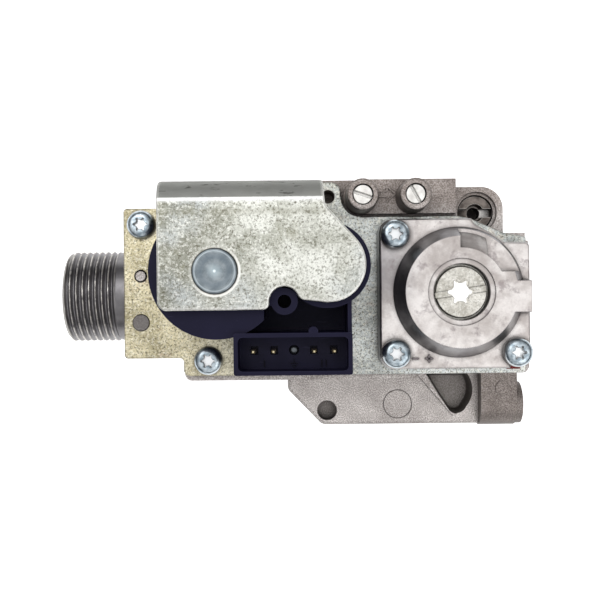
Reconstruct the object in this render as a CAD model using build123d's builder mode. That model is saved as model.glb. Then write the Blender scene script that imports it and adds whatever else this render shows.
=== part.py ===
"""Gas control valve for a small boiler: cast body, twin solenoid coils and a pressure regulator.

Millimetres. The origin is the outlet port's axis on the flat cast base. +X runs from the threaded
inlet to the regulator end, +Y is the side of the pressure test points, +Z points up to the coils.
"""
from build123d import *
import os

os.makedirs("parts", exist_ok=True)

# ------------------------------------------------------------------ driving dimensions
# heights above the base
BODY_TOP = 33.4
GASKET_T = 0.6
PLATE_BOTTOM = BODY_TOP + GASKET_T
PLATE_TOP = PLATE_BOTTOM + 2.0
DIAPHRAGM_T = 0.8
HOUSING_BOTTOM = PLATE_TOP + DIAPHRAGM_T
HOUSING_TOP = 45.0
TURRET_TOP = 50.5
COIL_TOP = 65.4
YOKE_T = 3.0
YOKE_BOTTOM = 66.0
YOKE_TOP = YOKE_BOTTOM + YOKE_T
CONNECTOR_TOP = 67.0
CONNECTOR_FLOOR = 58.5
PORT_Z = 17.0

# axes of the two solenoids
COIL_1 = (-63.0, 5.5)
COIL_2 = (-35.6, 6.9)

# inlet: G3/4 male thread
THREAD_R = 13.22
SPIGOT_TIP_X = -110.2
THREAD_END_X = -94.9
SPIGOT_SEAT_X = -84.0
BARREL_X = -89.5
BARREL_LENGTH = 14.0
STRAINER_X = -95.0
NECK_R = 12.95
INLET_R = 9.5

# outlet and its flange on the base
OUTLET_R = 11.0
OUTLET_DEPTH = 6.5
THROTTLE_CHAMBER_R = 9.5
THROTTLE_SEAT = 12.0
THROTTLE_SEAT_R = 7.0
THROTTLE_DISC_R = 8.5
CHAMBER_3_FLOOR = 15.0
FLANGE_BOLT_SPACING = 27.0
FLANGE_BOLT_R = 2.1
FLANGE_BOLT_DEPTH = 10.0
O_RING_R = 14.3
O_RING_SECTION = 1.15
O_RING_GROOVE = 2.4

# chambers under the cover plate
CHAMBER_FLOOR = 12.0
CHAMBER_1_R = 13.0
CHAMBER_2_R = 9.5
CHAMBER_3_R = 12.5
DUCT_FLOOR = 4.5
DUCT_TOP = 9.0
DUCT_RISE = 20.0
DUCT_WIDTH = 3.9
DUCT_1_END = -44.5
DUCT_2_END = -14.6

# solenoid valves: tube bore, seat bore, winding radius, lift and plunger top of each
TUBE_WALL = 0.6
TUBE_1_R, SEAT_1_R, WINDING_1_R, LIFT_1, PLUNGER_1_TOP = 5.0, 5.5, 14.0, 2.0, 50.0
TUBE_2_R, SEAT_2_R, WINDING_2_R, LIFT_2, PLUNGER_2_TOP = 3.5, 3.8, 9.0, 1.5, 49.0
SOLENOID_SEAT = 16.0
SEAT_WALL = 1.6
DISC_T = 2.6
FOOT_T = 2.0
TUBE_FLANGE_Z = 32.6
TUBE_TOP = 61.0
WINDING_BOTTOM = 40.0
WINDING_TOP = 60.0
CORE_GAP = 0.05
BOBBIN_WALL = 1.4
TUBE_PLAY = 0.05
RIVET_R = 5.55
RIVET_SHANK_R = 4.0
RIVET_H = 0.9

# M4 pan-head Torx screws
SCREW_R = 1.95
SCREW_HOLE_R = 2.0
SCREW_CLEAR_R = 2.2
HEAD_R = 3.97
HEAD_H = 2.9
TORX_TIP_R = 1.97
TORX_ROOT_R = 1.3
SCREW_TIP = 23.5
SCREW_HOLE_DEPTH = 11.0
PLATE_SCREWS = [(-86.2, 19.6), (-68.0, -18.2)]
HOUSING_SCREWS = [(-16.9, 15.65), (-16.9, -16.3), (15.5, -16.2)]

# pressure test points
NIPPLE_XY = {"in": (-25.3, 26.5), "out": (-11.1, 26.5)}
NIPPLE_SLOT_ANGLE = {"in": -19.0, "out": -62.0}
NIPPLE_TOP = 45.0
NIPPLE_BORE_R = 2.85
NIPPLE_SEAT = 36.4
NIPPLE_R = 4.5
TEST_DUCT_R = 0.6
TEST_DUCT_BOTTOM = 20.0
PAD_TOP = 35.4
PAD_CENTRE_Y = 26.9
PAD_R = 4.8
TEST_SCREW_R = 2.75
TEST_SEAL_T = 2.4
TEST_SCREW_L = 5.6

# regulator
TURRET_R = 17.5
TURRET_TOP_R = 14.8
SPRING_BORE_R = 7.5
ADJUSTER_BOTTOM = 46.0
ADJUSTER_TOP = 49.0
GOVERNOR_CHAMBER_R = 13.5
GOVERNOR_CHAMBER_TOP = 41.0
CONVOLUTION_AT = 10.4
CONVOLUTION_R = 1.8
DIAPHRAGM_PLATE_T = 1.2
STEM_R = 1.95
STEM_FOOT_T = 1.1
THROTTLE_DISC_TOP = THROTTLE_SEAT - 2.0
THROTTLE_DISC_T = 3.0
ADJUSTER_SHOULDER = 1.2
KEY_TIP_R = 3.45
KEY_ROOT_R = 2.4
SPRING_SEAT_T = 1.6

# blanking plug beside the regulator
PLUG_XY = (7.8, 22.7)
PLUG_R = 5.1
PLUG_BOTTOM = 18.0
PLUG_TOP = 27.8
PLUG_RIM_R = 5.9
PLUG_RIM_BOTTOM = 28.6
BOSS_TOP = 30.0
BOSS_BOTTOM = 6.0

# casting below the cover plate
FLANGE_BOTTOM = 26.4
BARREL_R = 15.6
LUG_BOTTOM = 15.0
SCREW_BOSS_BOTTOM = 19.5
RIB_BOTTOM = 13.0
RIB_XS = [-68.0, -57.0, -46.0, -35.0]

# mounting bracket and side port
BRACKET_BOTTOM = 9.0
BRACKET_TOP = 16.0
BRACKET_HOLE = (-34.7, -34.8)
BRACKET_HOLE_R = 2.95
BRACKET_HOLE_DEPTH = 4.5
SIDE_PORT_Y = -33.1
SIDE_PORT_Z = 14.05
SIDE_BLOCK_R = 6.55
SIDE_PORT_R = 4.3
SIDE_PORT_DEPTH = 9.0
SIDE_BLOCK_X = (10.6, 21.2)
SIDE_STUB_X = 23.1
SIDE_STUB_R = 6.2

# electrical connector
CONNECTOR = {"x": (-58.8, -29.75), "y": (-20.0, -9.7), "wall": 1.0}
PIN_Y = -14.3
PIN_SIZE = 0.95
PIN_TIP = 65.7
PIN_XS = [-54.1, -49.1, -39.1, -34.1]
EARTH_X = -44.1
EARTH_R = 1.0
WELL_DEPTH = 2.0
PIN_SEAT = CONNECTOR_FLOOR - 8.5
RING_BOSS = (-46.3, -2.0)


def keep(piece, name):
    """Label a finished piece and write its STEP file."""
    piece.part.label = name
    export_step(piece.part, f"parts/{name}.step")
    print(f"{name:24s} {piece.part.volume:10.1f} mm3  {len(piece.part.solids())} solid(s)")


def rectangle_between(x0, y0, x1, y1, mode=Mode.ADD):
    """Rectangle between two opposite corners, in the current sketch."""
    with Locations(((x0 + x1) / 2, (y0 + y1) / 2)):
        Rectangle(abs(x1 - x0), abs(y1 - y0), mode=mode)


def outline(points):
    """Closed straight-sided face, in the current sketch."""
    Polygon(*points, align=None)


def round_corners(sketch, corners, radius):
    """Round the sketch's corners nearest to the given points."""
    picked = [sketch.vertices().sort_by_distance(Vector(*corner))[0] for corner in corners]
    fillet(picked, radius)


def torx_face(tip_r, root_r):
    """Six-lobed Torx outline about the sketch's origin: rounded tips, with round hollows between."""
    lobe_r = tip_r * 0.16
    hollow_r = tip_r * 0.42
    Circle(tip_r * 0.9)
    with PolarLocations(root_r + hollow_r, 6, start_angle=30):
        Circle(hollow_r, mode=Mode.SUBTRACT)
    with PolarLocations(tip_r - lobe_r, 6):
        Circle(lobe_r)


def pan_screws(name, places, seat_z, tip_z):
    """A set of equal pan-head Torx screws, driven downwards at the given places."""
    with BuildPart() as screws:
        with BuildSketch(Plane.XY.offset(tip_z)):
            with Locations(*places):
                Circle(SCREW_R)
        extrude(amount=seat_z - tip_z)
        with BuildSketch(Plane.XY.offset(seat_z)):
            with Locations(*places):
                Circle(HEAD_R)
        extrude(amount=HEAD_H)
        fillet(screws.faces().filter_by(Plane.XY).group_by(Axis.Z)[-1].edges(), 1.9)
        with BuildSketch(Plane.XY.offset(seat_z + HEAD_H)):
            with BuildSketch(mode=Mode.PRIVATE) as recess:
                torx_face(TORX_TIP_R, TORX_ROOT_R)
            with Locations(*places):
                add(recess.sketch)
        extrude(amount=-1.6, mode=Mode.SUBTRACT)
    keep(screws, name)


def coil_spring(name, centre, low, high, mean_r, wire_r, turns):
    """Round-wire compression spring between two heights."""
    height = high - low - 2 * wire_r
    start = Plane((centre[0], centre[1], low + wire_r))
    with BuildPart() as spring:
        with BuildLine(start) as wire:
            Helix(pitch=height / turns, height=height, radius=mean_r)
        with BuildSketch(Plane(origin=wire.line @ 0, z_dir=wire.line % 0)):
            Circle(wire_r)
        sweep(path=wire.line, is_frenet=True)
    keep(spring, name)


# ------------------------------------------------------------------ cast body
BODY_OUTLINE = [
    (-89.5, -16.5), (-74.9, -16.5), (-74.9, -24.0), (-9.9, -24.0), (-9.9, -22.7), (21.6, -22.7),
    (21.6, 14.3), (13.6, 15.6), (5.0, 19.4), (1.2, 20.6), (1.2, 31.7), (-46.0, 31.7),
    (-46.0, 28.6), (-78.0, 28.6), (-78.0, 23.4), (-89.5, 23.4),
]
LOWER_OUTLINE = [(-79.0, -11.5), (-26.0, -11.5), (-20.0, -21.9), (20.9, -21.9), (20.9, 16.0), (4.0, 19.6),
                 (-79.0, 21.8)]
BRACKET_OUTLINE = [(-46.4, -10.0), (-46.4, -28.5), (-36.2, -39.15), (12.0, -39.15), (12.0, -10.0)]
RIB_OUTLINE = [(-8.3, -23.5), (3.0, -36.9), (4.6, -35.6), (1.4, -34.4), (-0.9, -31.2), (-5.6, -23.5)]
POSTS = [((-86.6, 5.4), 1.37), ((-86.6, -7.55), 2.2)]
TAB_HOLE = (-34.4, 26.9)
TAB_HOLE_R = 1.87

with BuildPart() as valve_body:
    # flange under the cover plate, with the shelf for the test points
    with BuildSketch(Plane.XY.offset(FLANGE_BOTTOM)) as flange_face:
        outline(BODY_OUTLINE)
        round_corners(flange_face, [(-89.5, -16.5), (-89.5, 23.4)], 3.0)
        round_corners(flange_face, [(-74.9, -24.0)], 2.0)
        round_corners(flange_face, [(21.6, -22.7), (-78.0, 28.6)], 2.0)
    extrude(amount=BODY_TOP - FLANGE_BOTTOM)
    # narrower block below it, down to the base
    with BuildSketch(Plane.XY) as lower_face:
        outline(LOWER_OUTLINE)
        fillet(lower_face.vertices(), 3.0)
    extrude(amount=FLANGE_BOTTOM)
    # round barrel of the inlet
    with BuildSketch(Plane.YZ.offset(BARREL_X)):
        with Locations((0, PORT_Z)):
            Circle(BARREL_R)
    extrude(amount=BARREL_LENGTH)
    # boss of the blanking plug, and the lower end face beside it
    with BuildSketch(Plane.XY.offset(BOSS_BOTTOM)) as boss_face:
        rectangle_between(-2.0, 13.0, 15.4, 29.95)
        round_corners(boss_face, [(15.4, 29.95)], 6.2)
        rectangle_between(10.0, 8.0, 21.6, 16.8)
    extrude(amount=BOSS_TOP - BOSS_BOTTOM)
    # thick lug that carries the test points
    with BuildSketch(Plane.XY.offset(LUG_BOTTOM)) as lug_face:
        rectangle_between(-30.5, 15.0, -5.5, 30.8)
        round_corners(lug_face, [(-30.5, 30.8), (-5.5, 30.8)], 4.0)
    extrude(amount=FLANGE_BOTTOM - LUG_BOTTOM)
    # screw bosses and stiffening ribs under the flange
    with BuildSketch(Plane.XY.offset(SCREW_BOSS_BOTTOM)):
        with Locations(PLATE_SCREWS[0]):
            Circle(3.25)
        with Locations(PLATE_SCREWS[1]):
            Circle(4.4)
    extrude(amount=FLANGE_BOTTOM - SCREW_BOSS_BOTTOM)
    with BuildSketch(Plane.XY.offset(RIB_BOTTOM)):
        for x in RIB_XS:
            rectangle_between(x - 1.0, -22.6, x + 1.0, -11.0)
    extrude(amount=FLANGE_BOTTOM - RIB_BOTTOM)
    # mounting bracket
    with BuildSketch(Plane.XY.offset(BRACKET_BOTTOM)) as bracket_face:
        outline(BRACKET_OUTLINE)
        round_corners(bracket_face, [(-46.4, -28.5), (-36.2, -39.15)], 2.6)
    extrude(amount=BRACKET_TOP - BRACKET_BOTTOM)
    bracket_rim = valve_body.edges().filter_by(Plane.XY).filter_by(
        lambda e: abs(e.center().Z - BRACKET_TOP) < 0.01 and e.center().Y < -24.5 and e.center().X < 11)
    fillet(bracket_rim, 1.2)
    # diagonal rib along the scoop
    with BuildSketch(Plane.XY.offset(BRACKET_TOP - 1.5)):
        outline(RIB_OUTLINE)
    extrude(amount=2.3)
    # scooped hollow between the rib and the side port
    with BuildSketch(Plane.XY.offset(BRACKET_TOP + 0.9)):
        with BuildLine():
            Polyline((-5.2, -24.0), (-0.9, -31.2), (1.6, -34.9))
            ThreePointArc((1.6, -34.9), (4.6, -36.1), (7.1, -34.1))
            ThreePointArc((7.1, -34.1), (9.0, -29.4), (7.4, -24.0))
            Line((7.4, -24.0), (-5.2, -24.0))
        make_face()
    extrude(amount=-6.4, taper=9, mode=Mode.SUBTRACT)
    # side port block, flat on top and round below, with a round stub
    with BuildSketch(Plane.YZ.offset(SIDE_BLOCK_X[0])):
        with Locations((SIDE_PORT_Y, SIDE_PORT_Z)):
            Circle(SIDE_BLOCK_R)
        rectangle_between(SIDE_PORT_Y, SIDE_PORT_Z - SIDE_BLOCK_R, -22.0, SIDE_PORT_Z + SIDE_BLOCK_R)
    extrude(amount=SIDE_BLOCK_X[1] - SIDE_BLOCK_X[0])
    with BuildSketch(Plane.YZ.offset(SIDE_BLOCK_X[1])):
        with Locations((SIDE_PORT_Y, SIDE_PORT_Z)):
            Circle(SIDE_STUB_R)
    extrude(amount=SIDE_STUB_X - SIDE_BLOCK_X[1])
    # blind hole under the hole in the plate's tab
    with BuildSketch(Plane.XY.offset(BODY_TOP)):
        with Locations(TAB_HOLE):
            Circle(TAB_HOLE_R - 0.1)
    extrude(amount=-5.5, mode=Mode.SUBTRACT)
    # raised pad, nipples and posts
    with BuildSketch(Plane.XY.offset(BODY_TOP)):
        with Locations((NIPPLE_XY["in"][0], PAD_CENTRE_Y)):
            Circle(PAD_R)
        rectangle_between(NIPPLE_XY["in"][0], PAD_CENTRE_Y - PAD_R, 1.2, PAD_CENTRE_Y + PAD_R)
    extrude(amount=PAD_TOP - BODY_TOP)
    for x, y in NIPPLE_XY.values():
        with BuildSketch(Plane.XY.offset(PAD_TOP)):
            with Locations((x, y)):
                Circle(NIPPLE_R)
        extrude(amount=NIPPLE_TOP - PAD_TOP, taper=1.0)
    nipple_rims = valve_body.faces().filter_by(Plane.XY).group_by(Axis.Z)[-1].edges()
    fillet(nipple_rims, 0.7)
    for (x, y), post_r in POSTS:
        with BuildSketch(Plane.XY.offset(BODY_TOP)):
            with Locations((x, y)):
                Circle(post_r)
        extrude(amount=3.0)
    # hollow arrow on the pad: the direction of flow
    with BuildSketch(Plane.XY.offset(PAD_TOP)):
        outline([(-20.6, 26.6), (-18.2, 26.6), (-18.2, 25.0), (-15.4, 27.6), (-18.2, 30.2),
                 (-18.2, 28.6), (-20.6, 28.6)])
        offset(amount=-0.45, mode=Mode.SUBTRACT)
    extrude(amount=0.35)

    # --- machined and cored hollows
    # inlet socket and bore
    with BuildSketch(Plane.YZ.offset(BARREL_X)):
        with Locations((0, PORT_Z)):
            Circle(NECK_R)
    extrude(amount=SPIGOT_SEAT_X - BARREL_X, mode=Mode.SUBTRACT)
    with BuildSketch(Plane.YZ.offset(SPIGOT_SEAT_X)):
        with Locations((0, PORT_Z)):
            Circle(INLET_R)
    extrude(amount=COIL_1[0] + 4.0 - SPIGOT_SEAT_X, mode=Mode.SUBTRACT)
    # chambers of the two solenoid valves, each with a raised seat
    for centre, chamber_r, seat_r in [(COIL_1, CHAMBER_1_R, SEAT_1_R), (COIL_2, CHAMBER_2_R, SEAT_2_R)]:
        with BuildSketch(Plane.XY.offset(CHAMBER_FLOOR)):
            with Locations(centre):
                Circle(chamber_r)
        extrude(amount=BODY_TOP - CHAMBER_FLOOR, mode=Mode.SUBTRACT)
        with BuildSketch(Plane.XY.offset(CHAMBER_FLOOR)):
            with Locations(centre):
                Circle(seat_r + SEAT_WALL)
        extrude(amount=SOLENOID_SEAT - CHAMBER_FLOOR)
        with BuildSketch(Plane.XY.offset(DUCT_FLOOR)):
            with Locations(centre):
                Circle(seat_r)
        extrude(amount=SOLENOID_SEAT - DUCT_FLOOR, mode=Mode.SUBTRACT)
    # cored ducts: from each seat along the base, then up into the next chamber
    with BuildSketch(Plane.XY.offset(DUCT_FLOOR)):
        rectangle_between(COIL_1[0], 1.5, DUCT_1_END, 9.5)
        rectangle_between(COIL_2[0], 3.4, DUCT_2_END, 10.4)
    extrude(amount=DUCT_TOP - DUCT_FLOOR, mode=Mode.SUBTRACT)
    with BuildSketch(Plane.XY.offset(DUCT_FLOOR)):
        rectangle_between(DUCT_1_END - DUCT_WIDTH, 1.5, DUCT_1_END, 9.5)
        rectangle_between(DUCT_2_END - DUCT_WIDTH, 3.4, DUCT_2_END, 10.4)
    extrude(amount=DUCT_RISE - DUCT_FLOOR, mode=Mode.SUBTRACT)
    with BuildSketch(Plane.XY.offset(CHAMBER_3_FLOOR + 1.0)):
        rectangle_between(DUCT_2_END - DUCT_WIDTH, 3.4, -8.0, 8.0)
    extrude(amount=DUCT_RISE - CHAMBER_3_FLOOR - 1.0, mode=Mode.SUBTRACT)
    # regulator chamber, throttle seat and outlet
    with BuildSketch(Plane.XY.offset(CHAMBER_3_FLOOR)):
        Circle(CHAMBER_3_R)
    extrude(amount=BODY_TOP - CHAMBER_3_FLOOR, mode=Mode.SUBTRACT)
    with BuildSketch(Plane.XY.offset(THROTTLE_SEAT)):
        Circle(THROTTLE_SEAT_R)
    extrude(amount=CHAMBER_3_FLOOR - THROTTLE_SEAT, mode=Mode.SUBTRACT)
    with BuildSketch(Plane.XY.offset(OUTLET_DEPTH)):
        Circle(THROTTLE_CHAMBER_R)
    extrude(amount=THROTTLE_SEAT - OUTLET_DEPTH, mode=Mode.SUBTRACT)
    with BuildSketch(Plane.XY):
        Circle(OUTLET_R)
    extrude(amount=OUTLET_DEPTH, mode=Mode.SUBTRACT)
    with BuildSketch(Plane.XY):
        Circle(O_RING_R + O_RING_SECTION + 0.1)
        Circle(O_RING_R - O_RING_SECTION - 0.1, mode=Mode.SUBTRACT)
    extrude(amount=O_RING_GROOVE, mode=Mode.SUBTRACT)
    with BuildSketch(Plane.XY):
        with GridLocations(FLANGE_BOLT_SPACING, FLANGE_BOLT_SPACING, 2, 2):
            Circle(FLANGE_BOLT_R)
    extrude(amount=FLANGE_BOLT_DEPTH, mode=Mode.SUBTRACT)
    # screw holes under the plate
    with BuildSketch(Plane.XY.offset(BODY_TOP)):
        with Locations(*PLATE_SCREWS, *HOUSING_SCREWS):
            Circle(SCREW_HOLE_R)
    extrude(amount=-SCREW_HOLE_DEPTH, mode=Mode.SUBTRACT)
    # nipple bores and their narrow ways down into the casting
    with BuildSketch(Plane.XY.offset(NIPPLE_SEAT)):
        with Locations(*NIPPLE_XY.values()):
            Circle(NIPPLE_BORE_R)
    extrude(amount=NIPPLE_TOP - NIPPLE_SEAT, mode=Mode.SUBTRACT)
    with BuildSketch(Plane.XY.offset(TEST_DUCT_BOTTOM)):
        with Locations(*NIPPLE_XY.values()):
            Circle(TEST_DUCT_R)
    extrude(amount=NIPPLE_SEAT - TEST_DUCT_BOTTOM, mode=Mode.SUBTRACT)
    # recess of the blanking plug
    with BuildSketch(Plane.XY.offset(PLUG_BOTTOM)):
        with Locations(PLUG_XY):
            Circle(PLUG_R)
    extrude(amount=BODY_TOP - PLUG_BOTTOM, mode=Mode.SUBTRACT)
    with BuildSketch(Plane.XY.offset(PLUG_RIM_BOTTOM)):
        with Locations(PLUG_XY):
            Circle(PLUG_RIM_R)
    extrude(amount=BODY_TOP - PLUG_RIM_BOTTOM, mode=Mode.SUBTRACT)
    # bracket hole and side port
    with BuildSketch(Plane.XY.offset(BRACKET_TOP)):
        with Locations(BRACKET_HOLE):
            Circle(BRACKET_HOLE_R)
    extrude(amount=-BRACKET_HOLE_DEPTH, mode=Mode.SUBTRACT)
    with BuildSketch(Plane.YZ.offset(SIDE_STUB_X)):
        with Locations((SIDE_PORT_Y, SIDE_PORT_Z)):
            Circle(SIDE_PORT_R)
    extrude(amount=-SIDE_PORT_DEPTH, mode=Mode.SUBTRACT)
    # ejector marks: a fine ring on the bracket, a low disc on the side block
    with BuildSketch(Plane.XY.offset(BRACKET_TOP)):
        with Locations((-13.6, -33.1)):
            Circle(4.35)
            Circle(4.1, mode=Mode.SUBTRACT)
    extrude(amount=-0.3, mode=Mode.SUBTRACT)
    with BuildSketch(Plane.XY.offset(SIDE_PORT_Z + SIDE_BLOCK_R)):
        with Locations((16.9, -28.2)):
            Circle(2.1)
    extrude(amount=0.3)
keep(valve_body, "valve_body")

# ------------------------------------------------------------------ inlet
with BuildPart() as inlet_spigot:
    with BuildSketch(Plane.YZ.offset(SPIGOT_TIP_X)):
        with Locations((0, PORT_Z)):
            Circle(THREAD_R)
    extrude(amount=THREAD_END_X - SPIGOT_TIP_X)
    chamfer(inlet_spigot.faces().sort_by(Axis.X)[0].edges(), 0.9)
    with BuildSketch(Plane.YZ.offset(THREAD_END_X)):
        with Locations((0, PORT_Z)):
            Circle(NECK_R - 0.02)
    extrude(amount=SPIGOT_SEAT_X - THREAD_END_X)
    with BuildSketch(Plane.YZ.offset(SPIGOT_TIP_X)):
        with Locations((0, PORT_Z)):
            Circle(INLET_R)
    extrude(amount=SPIGOT_SEAT_X - SPIGOT_TIP_X, mode=Mode.SUBTRACT)
keep(inlet_spigot, "inlet_spigot")

with BuildPart() as inlet_strainer:
    with BuildSketch(Plane.YZ.offset(STRAINER_X)):
        with Locations((0, PORT_Z)):
            Circle(INLET_R - 0.03)
    extrude(amount=8.0)
    with BuildSketch(Plane.YZ.offset(STRAINER_X + 0.5)):
        with Locations((0, PORT_Z)):
            Circle(INLET_R - 0.6)
    extrude(amount=8.0, mode=Mode.SUBTRACT)
    with BuildSketch(Plane.YZ.offset(STRAINER_X)):
        with Locations((0, PORT_Z)):
            with HexLocations(1.35, 9, 9):
                Circle(0.75)
        with Locations((0, PORT_Z)):
            Circle(8.0, mode=Mode.INTERSECT)
    extrude(amount=0.5, mode=Mode.SUBTRACT)
keep(inlet_strainer, "inlet_strainer")

# ------------------------------------------------------------------ cover plate and its gasket
GASKET_OUTLINE = [
    (-89.3, -15.4), (-73.6, -15.4), (-73.6, -21.4), (19.2, -21.4), (19.2, 13.2), (13.0, 14.2),
    (4.6, 17.8), (-3.0, 20.0), (-31.5, 20.0), (-32.6, 22.4), (-89.3, 22.4),
]
PLATE_OUTLINE = [
    (-91.3, -17.5), (-74.9, -17.5), (-74.9, -22.5), (20.0, -22.5), (20.4, 15.2), (14.0, 16.5),
    (5.2, 20.4), (1.2, 21.3), (-25.3, 21.3), (-25.3, PAD_CENTRE_Y), (-30.9, PAD_CENTRE_Y),
    (-30.9, 30.9), (-38.0, 30.9), (-38.0, 28.3), (-78.2, 28.3), (-78.2, 24.15), (-91.3, 24.15),
]

with BuildPart() as cover_gasket:
    with BuildSketch(Plane.XY.offset(BODY_TOP)):
        outline(GASKET_OUTLINE)
        for centre, chamber_r in [(COIL_1, CHAMBER_1_R), (COIL_2, CHAMBER_2_R), ((0, 0), CHAMBER_3_R)]:
            with Locations(centre):
                Circle(chamber_r, mode=Mode.SUBTRACT)
        with Locations(*PLATE_SCREWS, *HOUSING_SCREWS):
            Circle(SCREW_CLEAR_R, mode=Mode.SUBTRACT)
        for centre, post_r in POSTS:
            with Locations(centre):
                Circle(post_r + 0.1, mode=Mode.SUBTRACT)
    extrude(amount=GASKET_T)
keep(cover_gasket, "cover_gasket")

with BuildPart() as cover_plate:
    with BuildSketch(Plane.XY.offset(PLATE_BOTTOM)) as plate_face:
        outline(PLATE_OUTLINE)
        round_corners(plate_face, [(-91.3, -17.5), (-91.3, 24.15), (20.0, -22.5)], 1.0)
        round_corners(plate_face, [(-74.9, -22.5)], 1.7)
        round_corners(plate_face, [(-30.9, 30.9)], 2.8)
        round_corners(plate_face, [(-74.9, -17.5)], 1.2)
        with Locations((NIPPLE_XY["in"][0], PAD_CENTRE_Y)):
            Circle(PAD_R + 0.6, mode=Mode.SUBTRACT)
        for centre, hole_r in [(COIL_1, TUBE_1_R + TUBE_WALL + TUBE_PLAY),
                               (COIL_2, TUBE_2_R + TUBE_WALL + TUBE_PLAY),
                               ((0, 0), CHAMBER_3_R), (TAB_HOLE, TAB_HOLE_R)]:
            with Locations(centre):
                Circle(hole_r, mode=Mode.SUBTRACT)
        with Locations(*PLATE_SCREWS, *HOUSING_SCREWS):
            Circle(SCREW_CLEAR_R, mode=Mode.SUBTRACT)
        with Locations(POSTS[0][0]):
            Circle(1.8, mode=Mode.SUBTRACT)
        with Locations(POSTS[1][0]):
            Circle(2.4, mode=Mode.SUBTRACT)
    extrude(amount=PLATE_TOP - PLATE_BOTTOM)
    fillet(cover_plate.faces().sort_by(Axis.Z)[-1].outer_wire().edges(), 0.35)
keep(cover_plate, "cover_plate")

pan_screws("cover_screws", PLATE_SCREWS, PLATE_TOP, SCREW_TIP)

# ------------------------------------------------------------------ solenoid valves
SOLENOIDS = [
    ("1", COIL_1, TUBE_1_R, SEAT_1_R, WINDING_1_R, PLUNGER_1_TOP),
    ("2", COIL_2, TUBE_2_R, SEAT_2_R, WINDING_2_R, PLUNGER_2_TOP),
]
for number, centre, tube_r, seat_r, winding_r, plunger_top in SOLENOIDS:
    tube_outer = tube_r + TUBE_WALL
    disc_top = SOLENOID_SEAT + DISC_T
    foot_top = disc_top + FOOT_T

    # guide tube, flanged under the cover plate
    with BuildPart() as armature_tube:
        with BuildSketch(Plane.XY.offset(TUBE_FLANGE_Z)):
            with Locations(centre):
                Circle(tube_outer + 2.4)
        extrude(amount=PLATE_BOTTOM - TUBE_FLANGE_Z)
        with BuildSketch(Plane.XY.offset(PLATE_BOTTOM)):
            with Locations(centre):
                Circle(tube_outer)
        extrude(amount=TUBE_TOP - PLATE_BOTTOM)
        with BuildSketch(Plane.XY.offset(TUBE_FLANGE_Z)):
            with Locations(centre):
                Circle(tube_r)
        extrude(amount=TUBE_TOP - TUBE_FLANGE_Z, mode=Mode.SUBTRACT)
    keep(armature_tube, f"armature_tube_{number}")

    # moving plunger with a foot that carries the valve disc
    with BuildPart() as plunger:
        with BuildSketch(Plane.XY.offset(disc_top)):
            with Locations(centre):
                Circle(seat_r + 1.3)
        extrude(amount=foot_top - disc_top)
        with BuildSketch(Plane.XY.offset(foot_top)):
            with Locations(centre):
                Circle(tube_r - TUBE_PLAY)
        extrude(amount=plunger_top - foot_top)
        chamfer(plunger.faces().sort_by(Axis.Z)[-1].edges(), 0.5)
    keep(plunger, f"plunger_{number}")

    with BuildPart() as valve_disc:
        with BuildSketch(Plane.XY.offset(SOLENOID_SEAT)):
            with Locations(centre):
                Circle(seat_r + 1.4)
        extrude(amount=disc_top - SOLENOID_SEAT)
    keep(valve_disc, f"valve_disc_{number}")

    coil_spring(f"plunger_spring_{number}", centre, foot_top, TUBE_FLANGE_Z, tube_r + 0.75, 0.35, 5)

    # copper winding, moulded into the coil block
    with BuildPart() as coil_winding:
        with BuildSketch(Plane.XY.offset(WINDING_BOTTOM)):
            with Locations(centre):
                Circle(winding_r - 0.1)
                Circle(tube_outer + BOBBIN_WALL + 0.1, mode=Mode.SUBTRACT)
        extrude(amount=WINDING_TOP - WINDING_BOTTOM)
    keep(coil_winding, f"coil_winding_{number}")

# fixed core of solenoid 1, riveted over the yoke
CORE_1_FOOT = PLUNGER_1_TOP + LIFT_1 + CORE_GAP
with BuildPart() as core_1:
    with BuildSketch(Plane.XY.offset(CORE_1_FOOT)):
        with Locations(COIL_1):
            Circle(TUBE_1_R - 0.02)
    extrude(amount=YOKE_BOTTOM - CORE_1_FOOT)
    with BuildSketch(Plane.XY.offset(YOKE_BOTTOM)):
        with Locations(COIL_1):
            Circle(RIVET_SHANK_R)
    extrude(amount=YOKE_T)
    with BuildSketch(Plane.XY.offset(YOKE_TOP)):
        with Locations(COIL_1):
            Circle(RIVET_R)
    extrude(amount=RIVET_H)
    fillet(core_1.faces().sort_by(Axis.Z)[-1].edges(), 0.45)
    # turned rings and the lathe's centre point
    with BuildSketch(Plane.XY.offset(YOKE_TOP + RIVET_H)):
        with Locations(COIL_1):
            Circle(4.3)
            Circle(4.15, mode=Mode.SUBTRACT)
            Circle(2.6)
            Circle(2.45, mode=Mode.SUBTRACT)
            Circle(0.3)
    extrude(amount=-0.12, mode=Mode.SUBTRACT)
keep(core_1, "core_1")

CORE_2_FOOT = PLUNGER_2_TOP + LIFT_2 + CORE_GAP
with BuildPart() as core_2:
    with BuildSketch(Plane.XY.offset(CORE_2_FOOT)):
        with Locations(COIL_2):
            Circle(TUBE_2_R - 0.02)
    extrude(amount=YOKE_BOTTOM - CORE_2_FOOT)
keep(core_2, "core_2")

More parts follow.
